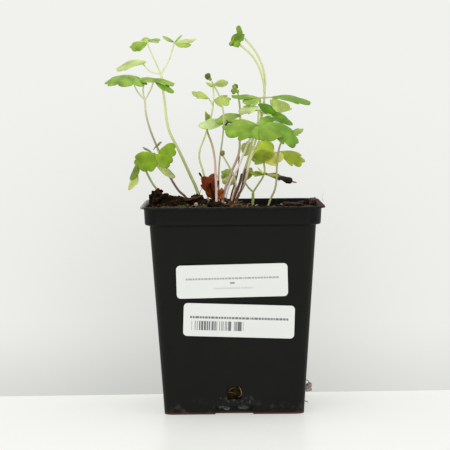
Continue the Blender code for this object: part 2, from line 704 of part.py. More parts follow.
def make_blade(blade, finish):
    """A lobed leaflet of even thickness, split alike on its upper and lower face."""
    reach = (Vector(blade.tip) - Vector(blade.base)).length * MM
    droop = math.radians(max(blade.droop, 0.1))
    length = reach * (droop / 2) / math.sin(droop / 2)
    edge = outline(blade, length)
    count = len(edge)
    frame = blade_frame(blade)
    base = Vector(blade.base) * MM
    middle = [base]
    for row in range(1, blade.rows + 1):
        share = row / blade.rows
        for across, along in edge:
            place = bent(blade, across * share, along * share, length)
            middle.append(base + frame @ place)
    upper = [(0, column + 2, column + 1) for column in range(count - 1)]
    for row in range(blade.rows - 1):
        for column in range(count - 1):
            near = 1 + row * count + column
            upper.append((near, near + 1, near + count + 1))
            upper.append((near, near + count + 1, near + count))
    normals = [Vector() for _ in middle]
    for face in upper:
        a, b, c = (middle[i] for i in face)
        for i in face:
            normals[i] += (b - a).cross(c - a)
    lift = [normal.normalized() * BLADE_THICK / 2 for normal in normals]
    points = [p + n for p, n in zip(middle, lift)] + [p - n for p, n in zip(middle, lift)]
    total = len(middle)
    faces = upper + [tuple(total + i for i in reversed(face)) for face in upper]
    last = total - count
    border = [0, *range(count, total, count), *range(total - 2, last - 1, -1)]
    border += [row * count + 1 for row in range(blade.rows - 2, -1, -1)]
    for start, end in zip(border, border[1:] + border[:1]):
        faces.append((total + start, total + end, end))
        faces.append((total + start, end, start))
    return add_mesh("blade", points, faces, finish)


def leaned(obj):
    """The object with its mesh turned by the plant's lean."""
    turn = Matrix.Rotation(PLANT_LEAN, 4, "Y")
    there = Matrix.Translation(LEAN_CENTRE)
    obj.data.transform(there @ turn @ there.inverted())
    return obj


def make_leaf(name, leaf):
    finish = finish_of("leaf " + "_".join(f"{c:.2f}" for c in leaf.colour), leaf.colour, 0.45)
    petiole = tube(name, leaf.route, leaf.radii, finish, PETIOLE_STEPS, 1)
    slim = (leaf.stalk_radius, leaf.stalk_radius)
    pieces = [tube("stalk", stalk, slim, finish, STALK_STEPS, 0) for stalk in leaf.stalks]
    pieces += [make_blade(blade, finish) for blade in leaf.blades]
    pieces += [make_lump("bud", *bud, BUD_ROUGHNESS, finish) for bud in leaf.buds]
    if pieces:
        combine(petiole, pieces, "UNION", "MANIFOLD")
    return leaned(petiole)


def main():
    clear_scene()
    black = finish_of("pot plastic", (0.013, 0.013, 0.012), 0.35)
    paper = finish_of("label paper", (0.85, 0.86, 0.83), 0.5)
    earth = finish_of("potting soil", (0.022, 0.012, 0.006), 0.95)
    make_pot(black)
    for name, (x, height, skew) in LABELS.items():
        make_label(name, x, height, skew, paper)
    soil = make_soil(earth)
    for name, leaf in LEAVES.items():
        make_leaf(name, leaf)
    holes = [leaned(tube("hole", leaf.route, leaf.radii, earth, PETIOLE_STEPS, 1,
                         HOLE_CLEARANCE))
             for leaf in LEAVES.values()]
    combine(soil, holes, "DIFFERENCE", "MANIFOLD")


main()
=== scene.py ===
"""A young columbine in a square nursery pot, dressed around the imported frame. It
stands in the row frame: metres, +Z up, and the front of the pot towards -Y."""

import math
import random
from collections import namedtuple

import bmesh
import bpy
from mathutils import Color, Matrix, Vector, noise


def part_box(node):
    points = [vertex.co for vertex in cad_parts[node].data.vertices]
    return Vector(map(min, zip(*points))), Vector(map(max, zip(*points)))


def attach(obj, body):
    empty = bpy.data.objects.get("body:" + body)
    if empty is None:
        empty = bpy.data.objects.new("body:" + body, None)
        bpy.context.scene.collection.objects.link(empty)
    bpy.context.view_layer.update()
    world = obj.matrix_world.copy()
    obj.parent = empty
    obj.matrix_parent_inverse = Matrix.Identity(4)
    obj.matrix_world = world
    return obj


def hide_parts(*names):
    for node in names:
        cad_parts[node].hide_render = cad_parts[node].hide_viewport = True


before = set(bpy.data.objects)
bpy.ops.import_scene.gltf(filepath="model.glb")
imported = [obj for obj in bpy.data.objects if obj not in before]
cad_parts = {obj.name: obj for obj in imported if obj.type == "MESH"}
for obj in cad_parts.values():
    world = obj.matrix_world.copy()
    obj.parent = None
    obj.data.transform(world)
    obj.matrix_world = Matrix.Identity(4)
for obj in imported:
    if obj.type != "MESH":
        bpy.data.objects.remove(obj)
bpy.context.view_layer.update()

# The pot: thin black polypropylene, moulded in one piece. Its walls taper to a foot
# with a notch and a drain hole in each side, and a collar with a narrow lip stiffens
# the top.
MM = 0.001
POT_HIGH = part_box("pot")[1]
RIM_HEIGHT = POT_HIGH.z
LIP_HALF = POT_HIGH.x
LIP_THICK = 1.0 * MM
COLLAR_HALF = 43.2 * MM
COLLAR_FOOT_HALF = 42.8 * MM
COLLAR_HEIGHT = 8.4 * MM
STEP_HEIGHT = 1.8 * MM
COLLAR_FOOT = RIM_HEIGHT - COLLAR_HEIGHT
STEP_FOOT = COLLAR_FOOT - STEP_HEIGHT
BODY_HALF = 40.5 * MM
FOOT_HALF = 34.2 * MM
WALL = 1.1 * MM
CORNER = 9.0 * MM
FOOT_CORNER = 4.0 * MM
FLOOR_UNDER = 5.0 * MM
FLOOR_TOP = 6.2 * MM
NOTCH_WIDTH = 18.5 * MM
NOTCH_HEIGHT = 4.3 * MM
NOTCH_DEPTH = 6 * MM
DRAIN_WIDTH = 7.0 * MM
DRAIN_LOW = 7.4 * MM
DRAIN_HIGH = 14.0 * MM
DRAIN_DEPTH = 8 * MM
FLOOR_DRAIN_RADIUS = 3.5 * MM
FLOOR_DRAIN_OUT = 17.0 * MM
FLOOR_DRAIN_TOP = FLOOR_UNDER + 3 * MM
FOOT_RIB = 1.6 * MM
RIB_HEIGHT = FLOOR_UNDER - 0.5 * MM
RIB_MIDDLE = (FLOOR_UNDER + 1.5 * MM) / 2
# The ring stands close behind the notches: a dark wall that also stands in for the shade under the
# pot
FOOT_RING_HALF = 30.0 * MM
FOOT_RING_MIDDLE = FLOOR_UNDER / 2 + 0.1 * MM
BOSS_RADIUS = 5.0 * MM
BOSS_TOP = FLOOR_UNDER + 0.5 * MM
# The collar's underside: where it leaves the body, turns out and meets the collar
UNDERSIDE_LOW = COLLAR_FOOT - 0.7 * MM
UNDERSIDE_TURN = 0.5 * MM
UNDERSIDE_HIGH = COLLAR_FOOT + 0.1 * MM
POT_CORNER_STEPS = 10
DRUM_SIDES = 40
EDGE_SOFTNESS = 0.3 * MM
CUT_SOFTNESS = 0.16 * MM
CUT_ANGLE = math.radians(60)
SHARP = math.radians(40)


def rounded_outline(half_width, half_depth, corner, steps):
    """The flat outline of a rectangle with round corners, anticlockwise."""
    points = []
    for quarter, (right, far) in enumerate([(1, 1), (-1, 1), (-1, -1), (1, -1)]):
        for step in range(steps + 1):
            angle = (quarter + step / steps) * math.pi / 2
            x = right * (half_width - corner) + corner * math.cos(angle)
            y = far * (half_depth - corner) + corner * math.sin(angle)
            points.append((x, y))
    return points


def rounded_square(half, corner, height, steps):
    """The same outline for a square, as points at a height."""
    return [Vector((x, y, height)) for x, y in rounded_outline(half, half, corner, steps)]


def softened(profile, softness):
    """The profile with each of its inner corners eased by a short curve."""
    eased = [profile[0]]
    for before, corner, after in zip(profile, profile[1:], profile[2:]):
        corner = Vector(corner)
        ends = []
        for other in (before, after):
            away = Vector(other) - corner
            ends.append(corner + away * min(softness / away.length, 0.4))
        for share in (0.0, 0.3, 0.7, 1.0):
            start = ends[0].lerp(corner, share)
            eased.append(tuple(start.lerp(corner.lerp(ends[1], share), share)))
    eased.append(profile[-1])
    return eased


def skin(rings):
    """Points and faces of rings joined one to the next, with both ends closed."""
    count = len(rings[0])
    points = [point for ring in rings for point in ring]
    faces = []
    for level in range(len(rings) - 1):
        for i in range(count):
            low, next_low = level * count + i, level * count + (i + 1) % count
            faces.append((low, next_low, next_low + count, low + count))
    faces.append(tuple(reversed(range(count))))
    faces.append(tuple(range(len(points) - count, len(points))))
    return points, faces


def body_half(height):
    """Half the width of the pot's body at a height, which widens evenly upwards."""
    return FOOT_HALF + (BODY_HALF - FOOT_HALF) * height / STEP_FOOT


def corner_at(half):
    """The corner's radius where the pot is half that wide."""
    return max(CORNER + half - COLLAR_HALF, FOOT_CORNER)


def mesh_of(name, points, faces):
    """A new mesh of these points and faces."""
    mesh = bpy.data.meshes.new(name)
    mesh.from_pydata(points, [], faces)
    return mesh


def linked(name, mesh):
    """A new object in the scene, with this as its data."""
    made = bpy.data.objects.new(name, mesh)
    bpy.context.scene.collection.objects.link(made)
    return made


def settled(thing):
    """The mesh of an object once its modifiers are applied; the object is removed."""
    graph = bpy.context.evaluated_depsgraph_get()
    mesh = bpy.data.meshes.new_from_object(thing.evaluated_get(graph))
    bpy.data.objects.remove(thing)
    return mesh


def shaped(name, shape):
    """The object of a bmesh, which is freed."""
    mesh = bpy.data.meshes.new(name)
    shape.to_mesh(mesh)
    shape.free()
    return linked(name, mesh)


def block(middle, size, turn=0.0):
    """A box of this size, turned about the vertical."""
    shape = bmesh.new()
    place = Matrix.Translation(middle) @ Matrix.Rotation(turn, 4, "Z")
    bmesh.ops.create_cube(shape, size=1.0, matrix=place @ Matrix.Diagonal((*size, 1)))
    return shaped("block", shape)


def drum(x, y, low, high, radius):
    """An upright cylinder from one height to another."""
    shape = bmesh.new()
    bmesh.ops.create_cone(
        shape, cap_ends=True, segments=DRUM_SIDES, radius1=radius, radius2=radius,
        depth=high - low, matrix=Matrix.Translation((x, y, (low + high) / 2)),
    )
    return shaped("drum", shape)


def combined(target, pieces, operation):
    """The target with the pieces joined to it, or cut from it."""
    group = bpy.data.collections.new("tools")
    for piece in pieces:
        group.objects.link(piece)
    modifier = target.modifiers.new(operation.lower(), "BOOLEAN")
    modifier.operation = operation
    modifier.operand_type = "COLLECTION"
    modifier.collection = group
    mesh = settled(target)
    for piece in pieces:
        bpy.data.objects.remove(piece)
    bpy.data.collections.remove(group)
    return linked("shape", mesh)


def pot_shell():
    """The walls, collar and lip, outside and in, with the raised floor between."""
    under_lip = RIM_HEIGHT - LIP_THICK
    profile = [
        (body_half(FLOOR_UNDER) - WALL, FLOOR_UNDER),
        (FOOT_HALF - WALL, 0.0),
        (FOOT_HALF, 0.0),
        (BODY_HALF, UNDERSIDE_LOW),
        (COLLAR_FOOT_HALF - UNDERSIDE_TURN, COLLAR_FOOT - UNDERSIDE_TURN),
        (COLLAR_FOOT_HALF, UNDERSIDE_HIGH),
        (COLLAR_HALF, under_lip),
        (LIP_HALF, under_lip),
        (LIP_HALF, RIM_HEIGHT),
        (COLLAR_HALF - WALL, RIM_HEIGHT),
        (COLLAR_FOOT_HALF - WALL, COLLAR_FOOT),
        (BODY_HALF - WALL, STEP_FOOT),
        (body_half(FLOOR_TOP) - WALL, FLOOR_TOP),
    ]
    rings = [
        rounded_square(half, corner_at(half), height, POT_CORNER_STEPS)
        for half, height in softened(profile, EDGE_SOFTNESS)
    ]
    return linked("pot_shell", mesh_of("pot_shell", *skin(rings)))


def pot_sides():
    """The turn of each of the four sides, and the way out through its middle."""
    for side in range(4):
        angle = side * math.pi / 2
        yield angle, Vector((math.sin(angle), -math.cos(angle), 0))


def raised(place, height):
    """The place, lifted from the ground to a height."""
    return Vector((place.x, place.y, height))


def underfloor():
    """What stiffens the floor from below: four ribs, a square ring and a round boss. The ring also
    stands close behind the notches as a dark wall in place of the shade under the pot.
    """
    reach = (FOOT_HALF - CORNER) * math.sqrt(2) + CORNER - WALL
    pieces = []
    for quarter in range(4):
        angle = math.radians(45 + 90 * quarter)
        middle = Vector((math.cos(angle), math.sin(angle), 0)) * reach / 2
        pieces.append(block(raised(middle, RIB_MIDDLE), (reach, FOOT_RIB, RIB_HEIGHT), angle))
    ring_size = (2 * FOOT_RING_HALF, FOOT_RIB, FLOOR_UNDER)
    for angle, out in pot_sides():
        pieces.append(block(raised(out * FOOT_RING_HALF, FOOT_RING_MIDDLE), ring_size, angle))
    pieces.append(drum(0, 0, 0, BOSS_TOP, BOSS_RADIUS))
    return pieces


def pot_cuts():
    """A notch in the foot, a drain hole above it and one in the floor, on each side."""
    cutters = []
    drain_size = (DRAIN_WIDTH, DRAIN_DEPTH, DRAIN_HIGH - DRAIN_LOW)
    for angle, out in pot_sides():
        notch_size = (NOTCH_WIDTH, NOTCH_DEPTH, 2 * NOTCH_HEIGHT)
        cutters.append(block(out * FOOT_HALF, notch_size, angle))
        drain_middle = raised(out * FOOT_HALF, (DRAIN_LOW + DRAIN_HIGH) / 2)
        cutters.append(block(drain_middle, drain_size, angle))
        hole = out * FLOOR_DRAIN_OUT
        cutters.append(drum(hole.x, hole.y, 0, FLOOR_DRAIN_TOP, FLOOR_DRAIN_RADIUS))
    return cutters


def pot_mesh():
    """The whole pot, its cut edges a little softened."""
    pot = combined(pot_shell(), underfloor(), "UNION")
    pot = combined(pot, pot_cuts(), "DIFFERENCE")
    bevel = pot.modifiers.new("soft cut edges", "BEVEL")
    bevel.width = CUT_SOFTNESS
    bevel.segments = 2
    bevel.angle_limit = CUT_ANGLE
    mesh = settled(pot)
    mesh.shade_smooth()
    mesh.set_sharp_from_angle(angle=SHARP)
    return mesh


def show(name, mesh, finishes, slot, *nodes):
    """Adds a piece that rides on the one body, and stands for the nodes named."""
    mesh.materials.clear()
    for finish in finishes:
        mesh.materials.append(finish)
    piece = linked(name, mesh)
    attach(piece, "root")
    if nodes:
        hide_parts(*nodes)


class Shade:
    """The output of a shader node. Sums and products of shades add Math nodes."""

    def __init__(self, tree, socket):
        self.tree = tree
        self.socket = socket

    def node(self, kind, settings, sockets, output=0):
        """Another node's output. Its settings are set first, and then its sockets."""
        made = self.tree.nodes.new(kind)
        for setting, value in settings.items():
            setattr(made, setting, value)
        fit(self.tree, made, sockets)
        return Shade(self.tree, made.outputs[output])

    def math(self, operation, *values):
        return self.node("ShaderNodeMath", {"operation": operation}, dict(enumerate(values)))

    def __add__(self, other):
        return self.math("ADD", self, other)

    def __sub__(self, other):
        return self.math("SUBTRACT", self, other)

    def __rsub__(self, other):
        return self.math("SUBTRACT", other, self)

    def __mul__(self, other):
        return self.math("MULTIPLY", self, other)

    def __truediv__(self, other):
        return self.math("DIVIDE", self, other)

    __radd__ = __add__
    __rmul__ = __mul__

    def rises(self, low, high):
        """0 where this is at low and 1 where it is at high, eased between them."""
        ends = {"Value": self, "From Min": low, "From Max": high}
        return self.node("ShaderNodeMapRange", {"interpolation_type": "SMOOTHSTEP"}, ends)

    def larger(self, other):
        return self.math("MAXIMUM", self, other)

    def size(self):
        return self.math("ABSOLUTE", self)

    def floor(self):
        return self.math("FLOOR", self)

    def fraction(self):
        return self.math("FRACT", self)

    def within(self, low, high, softness):
        """1 between low and high, and 0 outside them."""
        return self.rises(low - softness, low) * (1 - self.rises(high, high + softness))

    def stretched(self, x, y, z):
        """This place or direction with each axis multiplied."""
        sockets = {0: self, 1: (x, y, z)}
        return self.node("ShaderNodeVectorMath", {"operation": "MULTIPLY"}, sockets)

    def axis(self, index):
        return self.node("ShaderNodeSeparateXYZ", {}, {0: self}, index)

    def noise(self, size, detail=3.0, rough=0.55):
        """Cloudy noise with features of this size, in the place's own units."""
        sockets = {"Vector": self, "Scale": 1 / size, "Detail": detail, "Roughness": rough}
        return self.node("ShaderNodeTexNoise", {}, sockets)


    def blend(self, first, second):
        """The first colour where this is 0, and the second where it is 1."""
        return self.node("ShaderNodeMix", {"data_type": "RGBA"}, {0: self, 6: first, 7: second}, 2)

    def tinted(self, colour, share):
        """This colour multiplied by another, as far as the share."""
        settings = {"data_type": "RGBA", "blend_type": "MULTIPLY"}
        return self.node("ShaderNodeMix", settings, {0: share, 6: self, 7: colour}, 2)


def fit(tree, node, sockets):
    """Sets a node's input sockets to numbers or colours, or links shades to them."""
    for name, value in sockets.items():
        if isinstance(value, Shade):
            tree.links.new(value.socket, node.inputs[name])
        else:
            node.inputs[name].default_value = value


SOCKET_NAMES = {
    "base_color": "Base Color",
    "roughness": "Roughness",
    "normal": "Normal",
    "specular": "Specular IOR Level",
    "soft": "Subsurface Weight",
    "soft_scale": "Subsurface Scale",
    "glow": "Emission Color",
    "glow_strength": "Emission Strength",
}


class Finish:
    """A material in the making: its Principled surface and its coordinates."""

    def __init__(self, name):
        self.material = bpy.data.materials.new(name)
        self.material.use_nodes = True
        self.tree = self.material.node_tree
        self.surface = self.tree.nodes["Principled BSDF"]
        coordinates = self.tree.nodes.new("ShaderNodeTexCoord")
        metres = Shade(self.tree, coordinates.outputs["Object"])
        self.place = metres.stretched(1 / MM, 1 / MM, 1 / MM)

    def attribute(self, name, output):
        """A colour or vector that the mesh carries."""
        return self.place.node("ShaderNodeAttribute", {"attribute_name": name}, {}, output)

    def relief(self, height):
        """The normal bumped by a height in millimetres."""
        return height.node("ShaderNodeBump", {}, {"Height": height, "Distance": MM})

    def dress(self, **sockets):
        """Fits the surface's sockets, and returns the material."""
        for name, value in sockets.items():
            fit(self.tree, self.surface, {SOCKET_NAMES[name]: value})
        return self.material


def paint(red, green, blue):
    """The colour that looks like these steps out of 255 under an even white light."""
    linear = Color((red / 255, green / 255, blue / 255)).from_srgb_to_scene_linear()
    return (*linear, 1.0)


def pot_plastic():
    """Black plastic with a fine moulded grain, dull streaks and dust near the lip, with painted
    shade inside the collar and a painted highlight at the lip's left end.
    """
    finish = Finish("pot_plastic")
    place = finish.place
    side, depth, height = (place.axis(index) for index in range(3))
    cloud = place.noise(9.0, 4.0)
    streaks = place.stretched(1, 1, 0.12).noise(3.0, 3.0)
    grain = place.noise(0.35, 2.0)
    lip_top = RIM_HEIGHT / MM
    lip_inside = (COLLAR_HALF - WALL) / MM
    near_lip = height.rises(lip_top - 1.4, lip_top - 0.2)
    near_foot = 1 - height.rises(0.5, 9.0)
    # Dust on the lip, and dull smears round the foot
    dust = near_lip * place.noise(2.2, 5.0).rises(0.46, 0.62)
    smear = near_foot * place.noise(5.0, 5.0).rises(0.5, 0.68) * 0.35
    # Painted shade inside the collar, where little light falls, and, half as much, darker all round
    # its upper part
    farther = side.size().larger(depth.size())
    inside = (1 - farther.rises(lip_inside + 0.2, lip_inside + 0.5)) * height.rises(92, 95)
    upper = height.rises(94, 97) * 0.5
    # A painted highlight with pale grit at the lip's left end, brown at its right, reddish brown
    # along the bottom edge and a scuff
    left_end = near_lip * (1 - side.rises(-45.6, -42.2))
    left_end = left_end * place.noise(0.9, 3.0).rises(0.34, 0.5)
    right_end = near_lip * side.rises(41.8, 42.6) * place.noise(1.6, 3.0).rises(0.3, 0.5)
    reddish_bottom_edge = 1 - height.rises(0.5, 1.2)
    scuffed = side.within(-6, 8, 3) * height.within(5, 8, 2)
    scuffed = scuffed * place.noise(1.6, 4.0).rises(0.5, 0.7)
    colour = cloud.blend(paint(10, 10, 9), paint(17, 17, 15))
    for mask, tone in (
        # painted shade inside the collar, and darker round its upper part
        (inside.larger(upper), paint(3, 3, 3)),
        (dust * 0.11 + smear * 0.6, paint(110, 100, 82)),
        # painted highlight, with pale grit, at the lip's left end
        (left_end * 0.9, paint(212, 208, 194)),
        (right_end * 0.8, paint(58, 38, 30)),
        (reddish_bottom_edge * 0.55, paint(104, 62, 48)),
        (scuffed * 0.3, paint(120, 122, 118)),
    ):
        colour = mask.blend(colour, tone)
    return finish.dress(
        base_color=colour,
        roughness=0.40 + 0.14 * streaks + 0.25 * dust + 0.3 * right_end,
        specular=0.15,
        normal=finish.relief(0.012 * grain + 0.02 * streaks),
    )


show("pot_moulding", pot_mesh(), [pot_plastic()], "pot_plastic", "pot")

# The two labels: white paper stickers with round corners, stuck on the front wall one
# above the other and a little askew. They carry plain printed rules and bars.
LABEL_WIDTH = 54.0 * MM
LABEL_HEIGHT = 16.2 * MM
LABEL_THICK = 0.6 * MM
LABEL_CORNER = 2.0 * MM
LABEL_GAP = 0.32 * MM
LABEL_SOFTNESS = 0.12 * MM
LABEL_LEAN = math.atan2(BODY_HALF - FOOT_HALF, STEP_FOOT)
LABEL_CORNER_STEPS = 8
INK_SOFTNESS = 0.07
BAR_SEED = 7.0
# A printed rule: left, right, low and high in mm from the label's middle, its darkness,
# and the mean length of its dashes, or 0 where it is unbroken
Rule = namedtuple("Rule", "left right low high darkness dash")


def label_mesh(name, x, height, skew):
    """A thin sticker that leans back with the wall, its flat place kept as print."""
    corners = rounded_outline(
        LABEL_WIDTH / 2, LABEL_HEIGHT / 2, LABEL_CORNER, LABEL_CORNER_STEPS
    )
    half = LABEL_THICK / 2
    inset = 1 - 2 * LABEL_SOFTNESS / LABEL_HEIGHT
    levels = [(half, 1.0), (-half + LABEL_SOFTNESS, 1.0), (-half, inset)]
    rings = [[Vector((a * share, y, b * share)) for a, b in corners] for y, share in levels]
    points, faces = skin(rings)
    mesh = mesh_of(name, points, faces)
    flat = mesh.attributes.new("print", "FLOAT_VECTOR", "POINT")
    flat.data.foreach_set("vector", [v / MM for p in points for v in (p.x, p.z, p.y)])
    away = body_half(height) + (LABEL_GAP + half) / math.cos(LABEL_LEAN)
    mesh.transform(
        Matrix.Translation((x, -away, height))
        @ Matrix.Rotation(LABEL_LEAN, 4, "X")
        @ Matrix.Rotation(-math.radians(skew), 4, "Y")
    )
    return mesh


def printed(across, up, rule):
    """1 inside the rule's rectangle, and 0 outside it."""
    mark = across.within(rule.left, rule.right, INK_SOFTNESS)
    return mark * up.within(rule.low, rule.high, INK_SOFTNESS)


def label_paper(name, rules, bars=None):
    """White coated paper, printed with grey rules and with bars of random widths."""
    finish = Finish(name)
    flat = finish.attribute("print", 1)
    across, up = flat.axis(0), flat.axis(1)
    marks = []
    for rule in rules:
        mark = printed(across, up, rule)
        if rule.dash:
            settings = {"voronoi_dimensions": "1D", "feature": "DISTANCE_TO_EDGE"}
            sockets = {"W": across, "Scale": 1 / rule.dash}
            gap = across.node("ShaderNodeTexVoronoi", settings, sockets)
            mark = mark * gap.rises(0.05, 0.16)
        marks.append(mark * rule.darkness)
    if bars:
        module = (across / bars.dash).floor()
        settings = {"noise_dimensions": "1D"}
        chance = module.node("ShaderNodeTexWhiteNoise", settings, {"W": module + BAR_SEED})
        marks.append(printed(across, up, bars) * chance.rises(0.44, 0.5) * bars.darkness)
    ink = marks[0]
    for mark in marks[1:]:
        ink = ink.larger(mark)
    fibres = finish.place.noise(0.5, 4.0)
    shade = finish.place.noise(14.0, 2.0)
    colour = shade.blend(paint(226, 229, 225), paint(232, 234, 230))
    colour = ink.blend(colour, paint(38, 38, 42))
    return finish.dress(
        base_color=colour,
        roughness=0.46 + 0.1 * fibres - 0.08 * ink,
        normal=finish.relief(0.01 * fibres),
    )


UPPER_RULES = [
    Rule(-22.4, 22.6, 0.9, 1.7, 0.55, 1.5),
    Rule(-1.0, 1.2, -1.4, -0.5, 0.6, 0),
    Rule(-8.8, 10.0, -3.9, -3.1, 0.22, 1.2),
]
LOWER_RULES = [Rule(-23.8, 23.9, 0.8, 1.8, 0.8, 1.5)]
LOWER_BARS = Rule(-23.0, 2.2, -5.0, -0.5, 0.82, 0.34)
show(
    "sticker_upper", label_mesh("label_upper", -0.6 * MM, 66.0 * MM, 1.0),
    [label_paper("label_paper_upper", UPPER_RULES)], "label_paper", "label_upper",
)
show(
    "sticker_lower", label_mesh("label_lower", 2.6 * MM, 46.4 * MM, -2.0),
    [label_paper("label_paper_lower", LOWER_RULES, LOWER_BARS)], "label_paper", "label_lower",
)

# The root ball: dark peat compost that fills the pot to a rough surface. It is heaped
# above the lip at the left and sunk behind the middle, with clods and loose crumbs.
SOIL_LEVEL = 100.2 * MM
SOIL_ROUGHNESS = 1.0 * MM
SOIL_GRAIN = 7.0 * MM
SOIL_GAP = 0.32 * MM
SOIL_RINGS = 66
SOIL_STEPS = 62
# Heaps and dips of the surface: x, y, reach and height, in mm
HEAPS = [
    (-34, -6, 12, 3.0),
    (-20, 2, 12, 2.2),
    (-34, 26, 14, 1.5),
    (-2, 0, 14, 1.2),
    (22, 30, 24, -3.0),
    (3, 32, 13, -2.2),
    (41, 16, 6, 2.6),
    (24, -26, 16, -1.4),
]
# Clods: the middle and half sizes, in mm, and whether it is a black one with finer faces
CLODS = [
    ((-37.4, -13, 103.9), (4.8, 4.0, 4.4), True),
    ((-28.5, -16, 102.2), (4.0, 3.2, 2.2), False),
    ((-17.8, -9, 102.8), (4.2, 3.0, 3.2), False),
    ((-8, -18, 101.2), (4.2, 3.4, 1.8), False),
    ((-30, 20, 102.2), (4.6, 3.6, 2.2), False),
    ((-31.4, -13, 105.2), (1.2, 1.2, 0.9), True),
    ((-26.4, -12, 103.9), (2.4, 2.0, 1.7), False),
    ((31, 14, 99.4), (4.0, 2.4, 1.4), False),
    ((38.6, 10, 100.9), (2.2, 3.4, 1.6), False),
    ((14, -24, 99.4), (4.6, 3.6, 1.8), False),
]
SOIL_REACH = COLLAR_FOOT_HALF - WALL - SOIL_GAP
# The crust and the pits in it: how wide and how high they are, in mm
CRUST_SIZE = 3.1
CRUST_RISE = 0.75
PIT_SIZE = 1.3
PIT_RISE = 0.4
PIT_SEED = Vector((5, 3, 1))
PATCH_SIZE = 6
PATCH_SEED = Vector((2, 8, 4))
OLIVE_REACH = 50 * MM
LUMP_SPREAD = 900
CRUMB_COUNT = 2400
SPECK_COUNT = 200
CLOD_CRUMBS = 70
FINE_SIDE = 0.45 * MM
DARK_PEAT = paint(24, 18, 11)
BROWN_PEAT = paint(98, 70, 42)
OLIVE_PEAT = paint(98, 88, 42)
BLACK_PEAT = paint(14, 10, 6)
TAN_PEAT = paint(150, 120, 84)
PALE_SPECK = paint(196, 182, 156)
LOOSE_TONES = (BROWN_PEAT, OLIVE_PEAT, TAN_PEAT, BLACK_PEAT, BLACK_PEAT)
SPECK_TONES = (TAN_PEAT, BROWN_PEAT, PALE_SPECK)


def soil_height(x, y):
    """The surface of the soil: its heaps and dips, and a fine crumb."""
    height = SOIL_LEVEL
    for heap_x, heap_y, reach, rise in HEAPS:
        away = math.hypot(x / MM - heap_x, y / MM - heap_y)
        height += rise * MM * math.exp(-((away / reach) ** 2))
    place = Vector((x, y, 0)) / SOIL_GRAIN
    return height + SOIL_ROUGHNESS * noise.noise(place)


class Growth:
    """Points and faces of one piece, gathered part by part with what they carry."""

    def __init__(self):
        self.points = []
        self.faces = []
        self.finishes = []
        self.tones = []
        self.flats = []
        self.veins = []

    def add(self, points, faces, tones, finish=0, flats=None, veins=None):
        first = len(self.points)
        self.points += points
        self.faces += [tuple(first + i for i in face) for face in faces]
        self.finishes += [finish] * len(faces)
        self.tones += tones
        self.flats += flats or [(0, 0, 0)] * len(points)
        self.veins += veins or [(9, 9, 0)] * len(points)

    def mesh(self, name):
        made = mesh_of(name, self.points, self.faces)
        made.polygons.foreach_set("material_index", self.finishes)
        made.shade_smooth()
        for layer, kind, field, values in (
            ("tone", "FLOAT_COLOR", "color", self.tones),
            ("flat", "FLOAT_VECTOR", "vector", self.flats),
            ("vein", "FLOAT_VECTOR", "vector", self.veins),
        ):
            carried = made.attributes.new(layer, kind, "POINT")
            carried.data.foreach_set(field, [v for value in values for v in value])
        return made


BALLS = {}


def ball(detail):
    """The points and faces of a round ball, made once for each level of detail."""
    if detail not in BALLS:
        shape = bmesh.new()
        bmesh.ops.create_icosphere(shape, subdivisions=detail, radius=1.0)
        points = [vertex.co.copy() for vertex in shape.verts]
        faces = [tuple(vertex.index for vertex in face.verts) for face in shape.faces]
        BALLS[detail] = (points, faces)
        shape.free()
    return BALLS[detail]


def mixed(first, second, share):
    """The first colour, moved towards the second by a share."""
    return tuple(a + (b - a) * share for a, b in zip(first, second))


def held(value, low=0, high=1):
    """The value, kept between low and high."""
    return min(max(value, low), high)


def lump(growth, middle, size, detail, roughness, grain, tone, other, turn=None):
    """A craggy ball of peat or stone; its place and half sizes are in metres."""
    points, faces = ball(detail)
    made, tones = [], []
    for point in points:
        rough = noise.fractal(point * grain + middle * LUMP_SPREAD, 0.9, 2.2, 4)
        place = Vector(a * b for a, b in zip(point * (1 + roughness * rough), size))
        if turn:
            place = turn @ place
        place = place + middle
        place.x = held(place.x, -SOIL_REACH, SOIL_REACH)
        made.append(place)
        tones.append(mixed(tone, other, held(0.5 + rough)))
    growth.add(made, faces, tones)
    return made


def crumb(growth, scatter, place, side, tone, other):
    """A small flattened grain, with fewer faces where it is very fine."""
    size = Vector((side, side * scatter.uniform(0.5, 1), side * scatter.uniform(0.4, 0.9)))
    lump(growth, place, size, 1 if side < FINE_SIDE else 2, 0.5, 1.4, tone, other)


def root_ball():
    """The peat down to the pot's floor, with a finely broken upper surface."""
    rings = []
    for half, height in (
        (body_half(FLOOR_TOP) - WALL, FLOOR_TOP + SOIL_GAP),
        (body_half(DRAIN_HIGH) - WALL, DRAIN_HIGH),
        (BODY_HALF - WALL, STEP_FOOT + SOIL_GAP),
        (COLLAR_FOOT_HALF - WALL - 0.1 * MM, COLLAR_FOOT + SOIL_GAP),
    ):
        rings.append(rounded_square(half - SOIL_GAP, corner_at(half), height, SOIL_STEPS))
    edge = rounded_square(SOIL_REACH, CORNER - WALL - SOIL_GAP, 0, SOIL_STEPS)
    for level in range(SOIL_RINGS):
        share = 1.0 - level / SOIL_RINGS
        ring = []
        for point in edge:
            x, y = point.x * share, point.y * share
            place = Vector((x, y, 0)) / MM
            crust = noise.fractal(place / CRUST_SIZE, 0.9, 2.1, 4)
            pit = noise.noise(place / PIT_SIZE + PIT_SEED)
            rough = (CRUST_RISE * crust + PIT_RISE * pit) * MM
            ring.append(Vector((x, y, soil_height(x, y) + rough)))
        rings.append(ring)
    points, faces = skin(rings)
    tones = []
    for point in points:
        patch = held(0.5 + noise.noise(point / MM / PATCH_SIZE + PATCH_SEED))
        left = held(0.5 - point.x / OLIVE_REACH)
        tones.append(mixed(DARK_PEAT, mixed(BROWN_PEAT, OLIVE_PEAT, left), patch))
    return points, faces, tones


